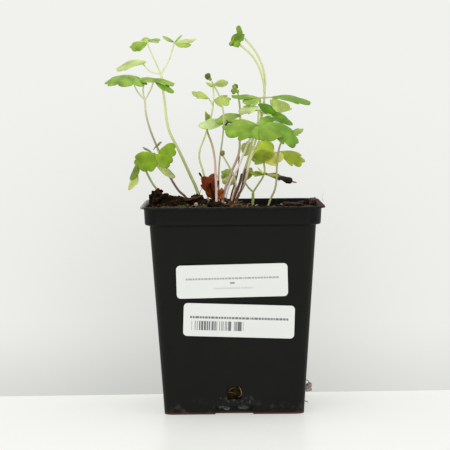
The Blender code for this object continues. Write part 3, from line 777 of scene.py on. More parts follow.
def potting_soil():
    """Damp peat: dark, matt and finely broken, with paler fibres and black grains."""
    finish = Finish("potting_soil")
    place = finish.place
    tone = finish.attribute("tone", 0)
    coarse = place.noise(1.6, 6.0, 0.7)
    fine = place.noise(0.35, 3.0, 0.6)
    fibre = place.stretched(0.3, 1.6, 1.0).noise(0.7, 2.0).rises(0.62, 0.7)
    colour = coarse.rises(0.36, 0.62).blend(tone.tinted(paint(120, 110, 100), 1.0), tone)
    colour = (fibre * 0.25).blend(colour, paint(112, 84, 50))
    return finish.dress(
        base_color=colour,
        roughness=0.8 + 0.15 * fine,
        specular=0.08,
        normal=finish.relief(0.22 * coarse + 0.08 * fine),
    )


def soil_mesh():
    """The root ball with its clods, and the crumbs that stick to them."""
    growth = Growth()
    growth.add(*root_ball())
    scatter = random.Random(11)
    for middle, size, spiky in CLODS:
        black = BLACK_PEAT if spiky else DARK_PEAT
        middle, size = Vector(middle) * MM, Vector(size) * MM
        fine = 5 if spiky else 4
        shell = lump(growth, middle, size, fine, 0.5, 1.9, black, mixed(black, BROWN_PEAT, 0.3))
        browner = mixed(black, BROWN_PEAT, 0.35)
        for _ in range(CLOD_CRUMBS):
            side = scatter.uniform(0.25, 1.15) * MM
            crumb(growth, scatter, scatter.choice(shell), side, black, browner)
    return growth.mesh("soil")


def crumb_mesh():
    """Loose crumbs all over the surface, with paler specks along the front left."""
    growth = Growth()
    scatter = random.Random(19)
    for _ in range(CRUMB_COUNT):
        x, y = (scatter.uniform(-SOIL_REACH, SOIL_REACH) * 0.99 for _ in range(2))
        side = (0.22 + 0.9 * scatter.random() ** 3) * MM
        tone = mixed(DARK_PEAT, scatter.choice(LOOSE_TONES), 0.8)
        place = Vector((x, y, soil_height(x, y) + side * 0.5))
        crumb(growth, scatter, place, side, tone, DARK_PEAT)
    for _ in range(SPECK_COUNT):
        x, y = scatter.uniform(-40, -2) * MM, scatter.uniform(-40.5, -14) * MM
        side = scatter.uniform(0.2, 0.55) * MM
        tone = scatter.choice(SPECK_TONES)
        place = Vector((x, y, soil_height(x, y) + side))
        crumb(growth, scatter, place, side, tone, BROWN_PEAT)
    return growth.mesh("soil_crumbs")


PEAT = potting_soil()
show("root_ball", soil_mesh(), [PEAT], "potting_soil", "soil")
show("soil_crumbs", crumb_mesh(), [PEAT], "potting_soil")

# What lies on and in the compost: rust-brown peat fibres and roots, chips of bark, a
# few beads of white perlite, and tufts of moss along the left side.
FIBRE_COUNT = 260
FIBRE_SPREAD = 40
FIBRE_LIMIT = 41
FIBRE_TONES = (paint(150, 128, 84), paint(104, 62, 34), paint(60, 42, 24), paint(60, 42, 24))
STRAND_STEPS = 6
STRAND_SIDES = 6
YELLOW_ROOT = paint(168, 148, 84)
DARK_ROOT = paint(44, 30, 18)
FRONT_WALL = -body_half(DRAIN_LOW) / MM
# Longer roots: behind the front lip, at the right lip, among the clods, and in the front
# and right drain holes. Each has its route and its radius at the foot, in mm, and a tone.
ROOTS = [
    ([(-0.9, -26, 101.6), (2, -28, 102.6), (4, -30, 102.6), (5.3, -30, 101)], 0.2, YELLOW_ROOT),
    ([(6.9, -30, 101), (7.6, -28, 102.6), (8.9, -26, 102.8), (10.5, -24, 100.6)], 0.2,
     YELLOW_ROOT),
    ([(46.4, 14, 101.6), (45.9, 15, 104.2), (47.2, 15, 106.6)], 0.09, paint(206, 200, 184)),
    ([(-16.8, -6, 103), (-16.2, -6, 107.4), (-14.7, -5, 110.6)], 0.22, DARK_ROOT),
    ([(2.4, FRONT_WALL + 0.9, 13.6), (3.2, FRONT_WALL - 0.2, 12.2), (3.4, FRONT_WALL + 0.1, 9.6),
      (2.0, FRONT_WALL + 1.1, 8.4)], 0.3, paint(168, 116, 66)),
    ([(-2.8, FRONT_WALL + 0.8, 11.4), (-1.2, FRONT_WALL + 0.2, 12.8),
      (0.8, FRONT_WALL + 0.7, 13.2)], 0.2, paint(132, 86, 48)),
    ([(-2.9, FRONT_WALL + 0.7, 10.8), (-0.6, FRONT_WALL + 0.5, 10.6),
      (1.2, FRONT_WALL + 0.8, 9.6)], 0.22, paint(120, 72, 40)),
    ([(35, 1.2, 11.6), (37.6, 0.8, 11.4), (38.0, 0.2, 9.9), (39.6, -0.4, 10.0)], 0.24, DARK_ROOT),
    ([(33.6, 0.6, 2.2), (36.6, 0.2, 0.9), (37.6, 0, 0.5)], 0.3, DARK_ROOT),
]
MOSS_PATCHES = [(-34.5, -32, 3.4), (-25.4, -25, 3.6), (-14.3, -20, 3.0), (-30, -36, 2.4)]
MOSS_LEAVES = 80
MOSS_BRIGHT = paint(112, 118, 44)
MOSS_DULL = paint(70, 74, 30)
BIT_DETAIL = 4
# Beads of perlite: the middle and the half size, in mm
PERLITE = [
    ((-17.9, -22, 102.3), 0.9),
    ((12, -12, 100.6), 0.8),
    ((25, 8, 100.2), 0.7),
    ((-5, 24, 101), 0.9),
    ((37.2, 0.4, 7.9), 1.9),
    ((38.3, -0.6, 9.6), 1.1),
]
# Grey lumps in the front notch, painted glints where light shows under the pot: the middle and the
# half sizes
NOTCH_GLINTS = [
    ((-6.6, -31.2, 3.4), (1.9, 0.5, 0.8)),
    ((-3.6, -31.2, 2.8), (1.7, 0.5, 1.1)),
    ((4.6, -31.2, 3.2), (2.7, 0.5, 1.1)),
]
# Chips of bark: the middle, the half sizes, a turn about the vertical and a tilt
CHIPS = [
    ((30.8, 8, 100.9), (5.2, 1.6, 0.7), 8, 6),
    ((35.4, 12, 101.4), (3.4, 1.2, 0.6), -25, -12),
    ((26.0, 12, 99.8), (3.0, 1.4, 0.5), 40, 5),
    ((40.6, 2, 101.8), (2.6, 1.4, 0.6), 60, -8),
    ((42.6, -12, 103.4), (1.6, 0.9, 0.4), 20, 0),
    ((40.2, -29, 104.3), (1.6, 3.6, 0.9), 10, -8),
    ((40.6, -15, 103.9), (1.2, 3.8, 1.1), -12, 6),
    ((40.4, 3, 103.0), (1.4, 3.6, 1.0), 5, -6),
    ((40.8, 14, 102.4), (1.2, 4.0, 1.0), -4, 4),
    ((-20.5, -12, 104.6), (3.8, 2.0, 0.8), -10, -14),
    ((-2.5, -7, 103.2), (2.6, 1.2, 0.9), 30, 35),
    ((6.5, -20, 101), (3.2, 1.1, 0.5), -15, 4),
    ((-10, 14, 102.4), (3.2, 1.5, 0.6), 60, 10),
    ((20, -8, 100), (2.8, 1.2, 0.5), 75, -8),
]


def swept(growth, line, radius_at, tone_at, sides=8, finish=0):
    """A round strand along a line of points, closed at both ends."""
    last = len(line) - 1
    along = (line[1] - line[0]).normalized()
    across = along.orthogonal().normalized()
    points, tones, faces = [], [], []
    for i, place in enumerate(line):
        ahead = line[min(i + 1, last)] - line[max(i - 1, 0)]
        across = (across - ahead * (across.dot(ahead) / ahead.length_squared)).normalized()
        side = ahead.normalized().cross(across)
        radius, tone = radius_at(i / last), tone_at(i / last)
        for spoke in range(sides):
            angle = 2 * math.pi * spoke / sides
            points.append(place + (across * math.cos(angle) + side * math.sin(angle)) * radius)
            tones.append(tone)
    for level in range(last):
        for spoke in range(sides):
            low = level * sides + spoke
            other = level * sides + (spoke + 1) % sides
            faces.append((low, other, other + sides, low + sides))
    faces.append(tuple(reversed(range(sides))))
    faces.append(tuple(range(last * sides, (last + 1) * sides)))
    growth.add(points, faces, tones, finish)


def curved(route, steps):
    """Points along a smooth curve through the route, which is in mm."""
    curve = bpy.data.curves.new("route", "CURVE")
    curve.dimensions = "3D"
    curve.resolution_u = steps
    spline = curve.splines.new("BEZIER")
    spline.bezier_points.add(len(route) - 1)
    for point, place in zip(spline.bezier_points, route):
        point.co = Vector(place) * MM
        point.handle_left_type = point.handle_right_type = "AUTO"
    guide = linked("route", curve)
    bpy.context.view_layer.update()
    mesh = settled(guide)
    return [vertex.co.copy() for vertex in mesh.vertices]


def strand(growth, route, radius, tone, tip_tone=None):
    """A root or fibre: its radius at the foot is in mm, and it tapers to a third."""
    line = curved(route, STRAND_STEPS)
    swept(growth, line, lambda share: radius * MM * (1 - 0.65 * share),
          lambda share: mixed(tone, tip_tone or tone, share), STRAND_SIDES)


def fibre_mesh():
    """Loose fibres over the surface, with the longer roots."""
    growth = Growth()
    scatter = random.Random(23)
    for _ in range(FIBRE_COUNT):
        x, y = (scatter.uniform(-FIBRE_SPREAD, FIBRE_SPREAD) for _ in range(2))
        turn = scatter.uniform(0, 2 * math.pi)
        reach = scatter.uniform(1.2, 4.5)
        route = []
        for step in (-1, -0.3, 0.4, 1):
            along, bend = step * reach, 0.25 * reach * math.sin(2.2 * step + turn)
            px = x + along * math.cos(turn) - bend * math.sin(turn)
            py = y + along * math.sin(turn) + bend * math.cos(turn)
            px, py = (held(value, -FIBRE_LIMIT, FIBRE_LIMIT) for value in (px, py))
            lift = 0.35 + scatter.uniform(-0.2, 0.7) * (1 - step * step)
            route.append((px, py, soil_height(px * MM, py * MM) / MM + lift))
        strand(growth, route, scatter.uniform(0.07, 0.17), scatter.choice(FIBRE_TONES))
    for route, radius, tone in ROOTS:
        strand(growth, route, radius, tone)
    return growth.mesh("peat_fibres")


def moss_mesh():
    """Tufts of small pointed leaves, each with a keel above and below."""
    growth = Growth()
    scatter = random.Random(31)
    faces = [(0, 1, 4), (1, 2, 4), (2, 3, 4), (3, 0, 4), (1, 0, 5), (2, 1, 5), (3, 2, 5), (0, 3, 5)]
    for patch_x, patch_y, patch_size in MOSS_PATCHES:
        for _ in range(MOSS_LEAVES):
            x = (patch_x + scatter.gauss(0, patch_size * 0.5)) * MM
            y = (patch_y + scatter.gauss(0, patch_size * 0.4)) * MM
            foot = Vector((x, y, soil_height(x, y) + 0.2 * MM))
            lean = [scatter.uniform(*ends) for ends in ((-1, 1), (-1, 1), (0.6, 1.8))]
            tall = scatter.uniform(0.7, 1.6) * MM
            along = Vector(lean).normalized() * tall
            side = along.orthogonal().normalized() * tall * 0.22
            keel = along.cross(side).normalized() * tall * 0.1
            points = [foot, foot + along * 0.5 + side, foot + along, foot + along * 0.5 - side,
                      foot + along * 0.45 + keel, foot + along * 0.45 - keel]
            growth.add(points, faces, [mixed(MOSS_DULL, MOSS_BRIGHT, scatter.random())] * 6)
    return growth.mesh("moss")


def perlite_mesh():
    """The beads of perlite, and the grey lumps in the notch that are painted glints."""
    growth = Growth()
    white, shaded = paint(226, 214, 204), paint(196, 178, 166)
    for middle, half in PERLITE:
        size = Vector((half, half * 0.8, half * 1.1)) * MM
        lump(growth, Vector(middle) * MM, size, BIT_DETAIL, 0.4, 1.5, white, shaded)
    # Painted glints: grey lumps on the dark wall in the front notch
    grey, black = paint(128, 130, 126), paint(40, 40, 38)
    for middle, half in NOTCH_GLINTS:
        size = Vector(half) * MM
        lump(growth, Vector(middle) * MM, size, BIT_DETAIL, 0.4, 2.2, grey, black)
    return growth.mesh("perlite")


def chip_mesh():
    """Flat splinters of bark, rough along their edges."""
    growth = Growth()
    for number, (middle, half, turn, tilt) in enumerate(CHIPS):
        turned = Matrix.Rotation(math.radians(turn), 3, "Z")
        turned = turned @ Matrix.Rotation(math.radians(tilt), 3, "Y")
        dark = paint(54, 34, 22) if number % 2 else paint(84, 46, 28)
        size = Vector(half) * MM
        lump(growth, Vector(middle) * MM, size, BIT_DETAIL, 0.35, 1.9, dark, paint(110, 72, 50),
             turned)
    return growth.mesh("bark_chips")


def litter_finish(name, rough, grain, soft):
    """The toned finish of what lies on the soil, broken by grain of this size."""
    finish = Finish(name)
    speckle = finish.place.noise(grain, 4.0, 0.65)
    tone = finish.attribute("tone", 0)
    colour = speckle.rises(0.3, 0.7).blend(tone.tinted(paint(150, 142, 134), 1.0), tone)
    return finish.dress(
        base_color=colour, roughness=rough + 0.1 * speckle, soft=soft,
        soft_scale=0.4 * MM, normal=finish.relief(0.12 * speckle),
    )


show("peat_fibres", fibre_mesh(), [litter_finish("root_fibre", 0.6, 0.5, 0.0)], "potting_soil")
show("moss", moss_mesh(), [litter_finish("moss_green", 0.7, 0.4, 0.1)], "potting_soil")
show("perlite", perlite_mesh(), [litter_finish("perlite_white", 0.85, 0.6, 0.2)], "potting_soil")
show("bark_chips", chip_mesh(), [litter_finish("bark_brown", 0.75, 0.8, 0.0)], "potting_soil")

# The tall leaf at the left: a long pale petiole that forks into three stalks, each
# with a fan of lobed leaflets. Every leaf of the plant is grown the same way, rooted
# in the soil, its blades thin, veined and a little wavy.
PLANT_LEAN = math.radians(0.5)
LEAN_CENTRE = Vector((-3.8, 0, 90.6)) * MM
BASE_SHARE = 0.8
MIDRIB_SOFTNESS = 0.08
LEAST_BEND = 0.1
LEAFLET_THICK = 0.3 * MM
TOOTH_COLUMNS = 8
LEAFLET_ROWS = 14
WAVE_SIZE = 5 * MM
RIPPLE_SIZE = 2.2 * MM
# The middle level of the painted light and shade on the blades
BLADE_SHADE = 0.87
NO_VEIN_NEAR = 9.0
STALK_STEPS = 12
STALK_SIDES = 10
STALK_FULLNESS = 1.12
STALK_END = 0.98
FORK_SWELL = 0.22
FORK_REACH = 0.035
HAIRS_PER_MM = 0.35
# Half a hair's width and the length of its foot, in mm
HAIR_SIDE = 0.014
HAIR_FOOT = 0.04
PALE_HAIR = paint(226, 226, 206)
BUD_BLADES = 7
BUD_TURN = 2.4

# A blade runs from its base to its tip, both in mm, and is width mm wide when laid
# flat. Angles are in degrees: roll turns it about its own length, droop bends it
# from end to end, cup bends it across, and fold creases it along its midrib. It is
# cut into lobes of some teeth each: cut is how deep it is cut between the lobes, nick
# between the teeth, and wedge narrows its base. Top, under and tip_tone are its
# colours, and where it has no top or under it takes the leaf's. Crumple is how far it
# is crumpled, in mm, and thin how much of the light comes through it.
Blade = namedtuple(
    "Blade",
    "base tip width roll droop cup fold lobes teeth cut nick wedge top under tip_tone crumple thin",
    defaults=(0, 25, 20, 0, 3, 1, 0.25, 0.1, 0.4, None, None, None, 0.35, 0.6),
)


def dip_at(blade, share):
    """How deep the outline is cut in at a share of the way round its lobes."""
    count = blade.lobes * blade.teeth
    place = held(share) * count
    tooth = min(int(place), count - 1)
    within = place - tooth

    def depth(edge):
        if edge in (0, count):
            return 0.0
        return blade.cut if edge % blade.teeth == 0 else blade.nick

    ends = depth(tooth) * (1 - within) + depth(tooth + 1) * within
    return ends * (1 - max(math.sin(math.pi * within), 0) ** 0.75)


def outline(blade, length, shares):
    """The edge of the flat blade, from its left to its right side seen from above."""
    rough = []
    for share in shares:
        angle = math.pi * BASE_SHARE * (2 * share - 1)
        along = (1 + math.cos(angle)) / 2
        rough.append((share, math.sin(angle) * along**blade.wedge, along))
    widest = max(across for _, across, _ in rough)
    edge = []
    for share, across, along in rough:
        kept = 1 - dip_at(blade, share)
        edge.append((across / widest * blade.width / 2 * MM * kept, along * length * kept))
    return edge


def bent(blade, across, along, length):
    """A point of the flat blade once it droops, cups and folds, in its own frame."""
    half = blade.width / 2 * MM
    cup_radius = half / math.radians(max(blade.cup, LEAST_BEND))
    droop = math.radians(max(blade.droop, LEAST_BEND))
    droop_radius = length / droop
    softness = MIDRIB_SOFTNESS * half
    crease = math.hypot(across, softness) - softness
    rise = -cup_radius * (1 - math.cos(across / cup_radius))
    rise -= crease * math.tan(math.radians(blade.fold))
    x = cup_radius * math.sin(across / cup_radius)
    turn = along / droop_radius
    reach = droop_radius + rise
    point = Vector((x, reach * math.sin(turn), reach * math.cos(turn) - droop_radius))
    return Matrix.Rotation(droop / 2, 3, "X") @ point


def blade_frame(blade):
    """The rotation from the blade's own frame to the world: it grows along +Y."""
    along = (Vector(blade.tip) - Vector(blade.base)).normalized()
    up = Vector((0, 0, 1)) - along * along.z
    up.normalize()
    up = Matrix.Rotation(math.radians(blade.roll), 3, along) @ up
    return Matrix((along.cross(up), along, up)).transposed()


def vein_rays(blade, edge):
    """The ways that the main and the side veins run out from the blade's base."""
    last = len(edge) - 1
    main = [edge[round((lobe + 0.5) * last / blade.lobes)] for lobe in range(blade.lobes)]
    side = [
        edge[tooth * TOOTH_COLUMNS + TOOTH_COLUMNS // 2]
        for tooth in range(blade.lobes * blade.teeth)
    ]
    return [[Vector(place).normalized() for place in group] for group in (main, side)]


def off_veins(across, along, rays):
    """How far a flat point is from the nearest of the rays, in mm."""
    nearest = NO_VEIN_NEAR
    for ray_x, ray_y in rays:
        if across * ray_x + along * ray_y > 0:
            nearest = min(nearest, abs(across * ray_y - along * ray_x) / MM)
    return nearest


def surface_of(blade, edge, length):
    """Points of the bent blade from its base outwards, with what each one carries: its
    flat place, its veins, how far it swells and its painted light and shade."""
    main_rays, side_rays = vein_rays(blade, edge)
    turned = blade_frame(blade)
    base = Vector(blade.base) * MM
    seed = Vector(blade.tip) * 0.37 + Vector((blade.width, 0, 0))
    middle, flats, veins, swells, painted_shades = [base], [(0, 0, 1)], [(0, 0, 0)], [0.0], [BLADE_SHADE]
    for row in range(1, LEAFLET_ROWS + 1):
        share = row / LEAFLET_ROWS
        for column, (across, along) in enumerate(edge):
            across, along = across * share, along * share
            middle.append(base + turned @ bent(blade, across, along, length))
            main = off_veins(across, along, main_rays)
            side = off_veins(across, along, side_rays)
            flats.append((across / MM, along / MM, 1))
            veins.append((main, side, share))
            lobe_wave = -math.cos(2 * math.pi * blade.lobes * (column / (len(edge) - 1)))
            wave = noise.noise(Vector((across, along, 0)) / WAVE_SIZE + seed)
            ripple = noise.noise(Vector((across, along, 0)) / RIPPLE_SIZE + seed)
            swell = (0.8 * lobe_wave * share + wave + 0.3 * ripple) * share * blade.crumple
            sunk = 0.1 * math.exp(-((main / 0.3) ** 2)) + 0.05 * math.exp(-((side / 0.25) ** 2))
            swells.append((swell - sunk * (1 - 0.7 * share)) * MM)
            # Painted light and shade: darker in the folds between the lobes and lighter on them,
            # patchy with the blade's swell, and lighter towards the base than the edge
            patchy = 0.38 * wave + 0.16 * ripple
            painted_shades.append(BLADE_SHADE + 0.08 * lobe_wave * share + patchy + 0.1 * (0.5 - share))
    return middle, flats, veins, swells, painted_shades


def sheet_faces(count):
    """The faces of one side: a fan round the base, and rows from there to the edge."""
    faces = [(0, column + 2, column + 1) for column in range(count - 1)]
    for row in range(LEAFLET_ROWS - 1):
        for column in range(count - 1):
            near = 1 + row * count + column
            faces.append((near, near + 1, near + count + 1, near + count))
    return faces


def rim_faces(count, total):
    """The narrow faces that close the sheet all the way round its rim."""
    last = total - count
    rim = [0, *range(count, total, count), *range(total - 2, last - 1, -1)]
    rim += [row * count + 1 for row in range(LEAFLET_ROWS - 2, -1, -1)]
    return [(total + start, total + end, end, start) for start, end in zip(rim, rim[1:] + rim[:1])]


def blade_tones(blade, veins, painted_shades):
    """The colour of each point, above and then below, with its painted light and shade, and how
    thin it is.
    """
    tones = []
    for colour in (blade.top, blade.under):
        for (_, _, share), shade in zip(veins, painted_shades):
            worn = held((share - 0.45) * 4) if blade.tip_tone else 0
            mix = mixed(colour, blade.tip_tone or colour, worn)
            tones.append((*[min(part * shade, 1) for part in mix[:3]], blade.thin * (1 - worn)))
    return tones


def leaflet(growth, blade):
    """A thin lobed blade with sunken veins, quilting between them and a wavy edge."""
    reach = (Vector(blade.tip) - Vector(blade.base)).length * MM
    droop = math.radians(max(blade.droop, LEAST_BEND))
    length = reach * (droop / 2) / math.sin(droop / 2)
    count = blade.lobes * blade.teeth * TOOTH_COLUMNS + 1
    edge = outline(blade, length, [column / (count - 1) for column in range(count)])
    middle, flats, veins, swells, painted_shades = surface_of(blade, edge, length)
    upper = sheet_faces(count)
    normals = [Vector() for _ in middle]
    for face in upper:
        a, b, c = middle[face[0]], middle[face[1]], middle[face[-1]]
        normal = (b - a).cross(c - a)
        for i in face:
            normals[i] += normal
    top, under = [], []
    for place, normal, swell, (_, _, share) in zip(middle, normals, swells, veins):
        normal.normalize()
        half = LEAFLET_THICK / 2 * (1 - 0.6 * share**8)
        top.append(place + normal * (swell + half))
        under.append(place + normal * (swell - half))
    total = len(middle)
    faces = upper + [tuple(total + i for i in reversed(face)) for face in upper]
    faces += rim_faces(count, total)
    below = [(x, y, -1) for x, y, _ in flats]
    tones = blade_tones(blade, veins, painted_shades)
    growth.add(top + under, faces, tones, 1, flats + below, veins + veins)


def tone_along(tones, share):
    """The colour at a share of the way through a list of colours."""
    place = held(share, 0, 0.9999) * (len(tones) - 1)
    return mixed(tones[int(place)], tones[int(place) + 1], place - int(place))


def hair(growth, scatter, line, step, radius, tone):
    """A fine hair that stands out from a stalk at one of the points of its line."""
    along = (line[step + 1] - line[step - 1]).normalized()
    out = Vector([scatter.gauss(0, 1) for _ in range(3)]).cross(along).normalized()
    foot = line[step] + out * radius * 0.9
    point = foot + (out + along * scatter.uniform(-0.5, 0.5)) * scatter.uniform(0.25, 0.5) * MM
    side = out.cross(along) * HAIR_SIDE * MM
    points = [foot + side, foot - side, foot + along * HAIR_FOOT * MM, point]
    growth.add(points, [(0, 1, 3), (1, 2, 3), (2, 0, 3), (1, 0, 2)], [tone] * 4)


def stalk(growth, route, radii, tones, scatter):
    """A tapering stalk, swollen where it forks, with sparse fine hairs."""
    line = curved(route, STALK_STEPS)

    def radius_at(share):
        swollen = FORK_SWELL * math.exp(-(((1 - share) / FORK_REACH) ** 2))
        knobbly = 0.05 * noise.noise(Vector((share * 14, radii[0] * 9, len(line))))
        rounded = math.sqrt(1 - 0.75 * max(0, (share - STALK_END) / 0.02) ** 2)
        radius = radii[0] + (radii[1] - radii[0]) * share
        return STALK_FULLNESS * radius * (1 + swollen + knobbly) * rounded * MM

    swept(growth, line, radius_at, lambda share: tone_along(tones, share), STALK_SIDES)
    reach = sum((b - a).length for a, b in zip(line, line[1:])) / MM
    for _ in range(int(reach * HAIRS_PER_MM)):
        step = scatter.randrange(1, len(line) - 1)
        share = step / (len(line) - 1)
        pale = mixed(tone_along(tones, share), PALE_HAIR, 0.5)
        hair(growth, scatter, line, step, radius_at(share), pale)


def bud(growth, middle, half, top, under):
    """A leaf still rolled up: small folded blades pressed round one another."""
    foot = Vector(middle) - Vector((0, 0, half[2] * 0.9))
    for number in range(BUD_BLADES):
        angle = BUD_TURN * number
        out = Vector((math.cos(angle) * half[0], math.sin(angle) * half[1], 0))
        rise = half[2] * (0.5 + 0.5 * (number % 3) / 2)
        point = Vector(middle) + out * 0.45 + Vector((0, 0, rise))
        blade = Blade(
            tuple(foot + out * 0.1), tuple(point), half[0] * 1.7, 90 - math.degrees(angle), 60,
            75, 20, 1, 3, 0.2, 0.16, top=top, under=under, crumple=0.3,
        )
        leaflet(growth, blade)


def leaf_skin(name, through):
    """A soft, dull leaf: pale branching veins, faint mottling, and light through it."""
    finish = Finish(name)
    tone = finish.attribute("tone", 0)
    flat = finish.attribute("flat", 1)
    vein = finish.attribute("vein", 1)
    main, side, share = (vein.axis(index) for index in range(3))
    above = flat.axis(2)
    outwards = flat.node("ShaderNodeVectorMath", {"operation": "LENGTH"}, {0: flat}, 1)
    feather = (((outwards - 1.25 * main) / 1.5).fraction() - 0.5).size().rises(0.41, 0.49)
    feather = feather * main.rises(2.6, 0.4) * share.rises(1.0, 0.7)
    trunk = 1 - main.rises(0.06, 0.34)
    branch = (1 - side.rises(0.03, 0.16)) * share.rises(0.3, 0.5)
    drawn = trunk.larger(branch * 0.65).larger(feather * 0.3)
    mottle = flat.noise(4.5, 1.0)
    colour = mottle.rises(0.3, 0.72).blend(tone.tinted(paint(234, 240, 214), 1.0), tone)
    colour = (drawn * 0.4).blend(colour, paint(212, 226, 132))
    colour = (share.rises(0.955, 1.0) * 0.35).blend(colour, paint(190, 205, 110))
    finish.dress(
        base_color=colour,
        roughness=0.52 + 0.12 * mottle,
        specular=0.05,
        normal=finish.relief(-0.12 * drawn * above),
    )
    nodes, links = finish.tree.nodes, finish.tree.links
    lit = nodes.new("ShaderNodeBsdfTranslucent")
    lit.inputs["Color"].default_value = through
    both = nodes.new("ShaderNodeMixShader")
    fit(finish.tree, both, {"Fac": finish.attribute("tone", 3) * (1 - 0.35 * drawn)})
    links.new(finish.surface.outputs[0], both.inputs[1])
    links.new(lit.outputs[0], both.inputs[2])
    links.new(both.outputs[0], nodes["Material Output"].inputs[0])
    return finish.material


def stalk_skin():
    """A smooth juicy stalk with faint lengthwise streaks."""
    finish = Finish("stalk_skin")
    tone = finish.attribute("tone", 0).tinted((1.06, 1.06, 1.06, 1), 1.0)
    streak = finish.place.stretched(1, 1, 0.1).noise(0.5, 1.0)
    colour = streak.rises(0.3, 0.7).blend(tone.tinted(paint(243, 241, 230), 1.0), tone)
    return finish.dress(
        base_color=colour, roughness=0.5 + 0.1 * streak, specular=0.2,
        normal=finish.relief(0.02 * streak),
    )


def leaned(mesh):
    """The mesh turned by the whole plant's lean."""
    there = Matrix.Translation(LEAN_CENTRE)
    mesh.transform(there @ Matrix.Rotation(PLANT_LEAN, 4, "Y") @ there.inverted())
    return mesh


STALK_SKIN = stalk_skin()
GREEN_SKIN = leaf_skin("leaf_green", paint(232, 244, 122))
PALE_SKIN = leaf_skin("leaf_pale", paint(238, 254, 172))
FRESH_TOP = paint(170, 200, 96)
FRESH_UNDER = paint(212, 234, 136)
PALE_UNDER = paint(236, 250, 168)
CREAM_STEM = paint(234, 242, 190)


def grow(name, slot, route, radii, tones, top=None, under=None, skin=GREEN_SKIN, stalks=(),
         stalk_radius=0.3, blades=(), buds=()):
    """One leaf, from its foot in the soil to its leaflets, in place of its node. Its
    petiole follows the route, and its radii and tones run from the foot upwards."""
    growth = Growth()
    scatter = random.Random(name)
    stalk(growth, route, radii, tones, scatter)
    for side_route in stalks:
        stalk(growth, side_route, (stalk_radius, stalk_radius), [tones[-1]] * 2, scatter)
    for blade in blades:
        leaflet(growth, blade._replace(top=blade.top or top, under=blade.under or under))
    for middle, half, bud_top, bud_under in buds:
        bud(growth, middle, half, bud_top, bud_under)
    show(name + "_grown", leaned(growth.mesh(name)), [STALK_SKIN, skin], slot, name)

TALL_FORK = (-36.1, 6.5, 166.8)
TALL_TOP = (-43, 3, 182.2)
TALL_SIDE = (-29.4, 8, 182.7)
TALL_LOW = (-45.3, 11, 171.8)
grow(
    "leaf_tall_left", "green_leaf",
    [(-15, 2, 96), (-17.5, 2, 107), (-22.1, 3, 117.5), (-27.4, 4, 128.9), (-32.2, 5, 138.9),
     (-34.3, 6, 153), TALL_FORK],
    (0.74, 0.52),
    [paint(172, 176, 112), paint(180, 188, 120), paint(202, 214, 150), paint(218, 228, 166),
     CREAM_STEM],
    top=FRESH_TOP, under=FRESH_UNDER, skin=PALE_SKIN,
    stalks=[[TALL_FORK, (-38.9, 5, 172.9), TALL_TOP], [TALL_FORK, (-32.2, 7, 173.6), TALL_SIDE],
            [TALL_FORK, (-41.7, 9, 168.2), TALL_LOW]],
    stalk_radius=0.36,
    blades=[Blade(TALL_TOP, (-51, -2, 178.9), 6.6, -42, 30, 20, 0, 3, 2, 0.14, 0.06,
                  top=paint(164, 198, 76)),
            Blade((-42.6, 2, 183.6), (-36.2, 0, 183), 5.6, 26, 20, 20, 0, 2, 2, 0.16, 0.06),
            Blade(TALL_TOP, (-44, 12, 184.9), 7, 0, 20),
            Blade((-29.5, 7.8, 182.9), (-35.3, 6, 185.2), 4, -36, 30, 20, 0, 1, 3),
            Blade(TALL_SIDE, (-25.3, 13, 186.5), 1.8, 0, 10, 10, 0, 1, 2),
            Blade(TALL_SIDE, (-18.4, 7, 183.9), 8, 17, 10, 20, 0, 3, 1, 0.12, 0.05,
                  top=paint(196, 212, 126), under=PALE_UNDER),
            Blade(TALL_SIDE, (-21.2, 2, 180.6), 7, 26, 20, 20, 0, 3, 1, 0.12, 0.05,
                  under=PALE_UNDER),
            Blade((-43.6, 11, 172.9), (-59, 10, 168.6), 10.5, -22, 40, 12, 0, 3, 2, 0.1, 0.06,
                  0.25, top=paint(203, 222, 140), under=PALE_UNDER, thin=0.76)],
)

# The middle leaf at the left: a domed leaflet, grown towards the light, with three
# smaller ones beside it. Its petiole is brownish low down.
MEADOW_TOP = paint(152, 190, 80)
MEADOW_DEEP = paint(138, 180, 62)
BROWN_STEM = paint(140, 118, 94)
MID_FORK = (-44.2, 4, 153.3)
MID_LEFT = (-50.8, 6, 165.6)
MID_TOP = (-44.4, 3, 163)
MID_RIGHT = (-39.5, -1, 163.3)
grow(
    "leaf_mid_left", "green_leaf",
    [(-21, 8, 96), (-23, 8, 103.4), (-27.8, 7, 108.5), (-37.5, 5, 128.5), (-43.3, 4, 145),
     MID_FORK],
    (0.6, 0.42),
    [paint(112, 96, 76), paint(124, 106, 84), paint(146, 130, 104), paint(190, 182, 152),
     paint(228, 230, 190)],
    top=MEADOW_TOP, under=FRESH_UNDER,
    stalks=[[MID_FORK, (-48.6, 5, 159), MID_LEFT], [MID_FORK, (-45, 3.5, 158), MID_TOP],
            [MID_FORK, (-40.8, 1, 159.5), MID_RIGHT]],
    stalk_radius=0.34,
    blades=[Blade((-53.2, 6, 165.8), (-53.4, -9, 159.9), 22.8, -1, 70, 38, 0, 7, 1, 0.13, 0.06,
                  0.3),
            Blade((-45.5, 4, 164.2), (-40.4, -6, 162.2), 12, 5, 60, 30, 0, 3, 1, 0.15),
            Blade((-42.1, 0, 164), (-28.6, -3, 160.9), 8.5, 16, 40, 30, 0, 3, 2, 0.2),
            Blade(MID_RIGHT, (-29.4, -6, 157), 5, 40, 30, 30, 0, 3, 1, 0.2, top=MEADOW_DEEP)],
)

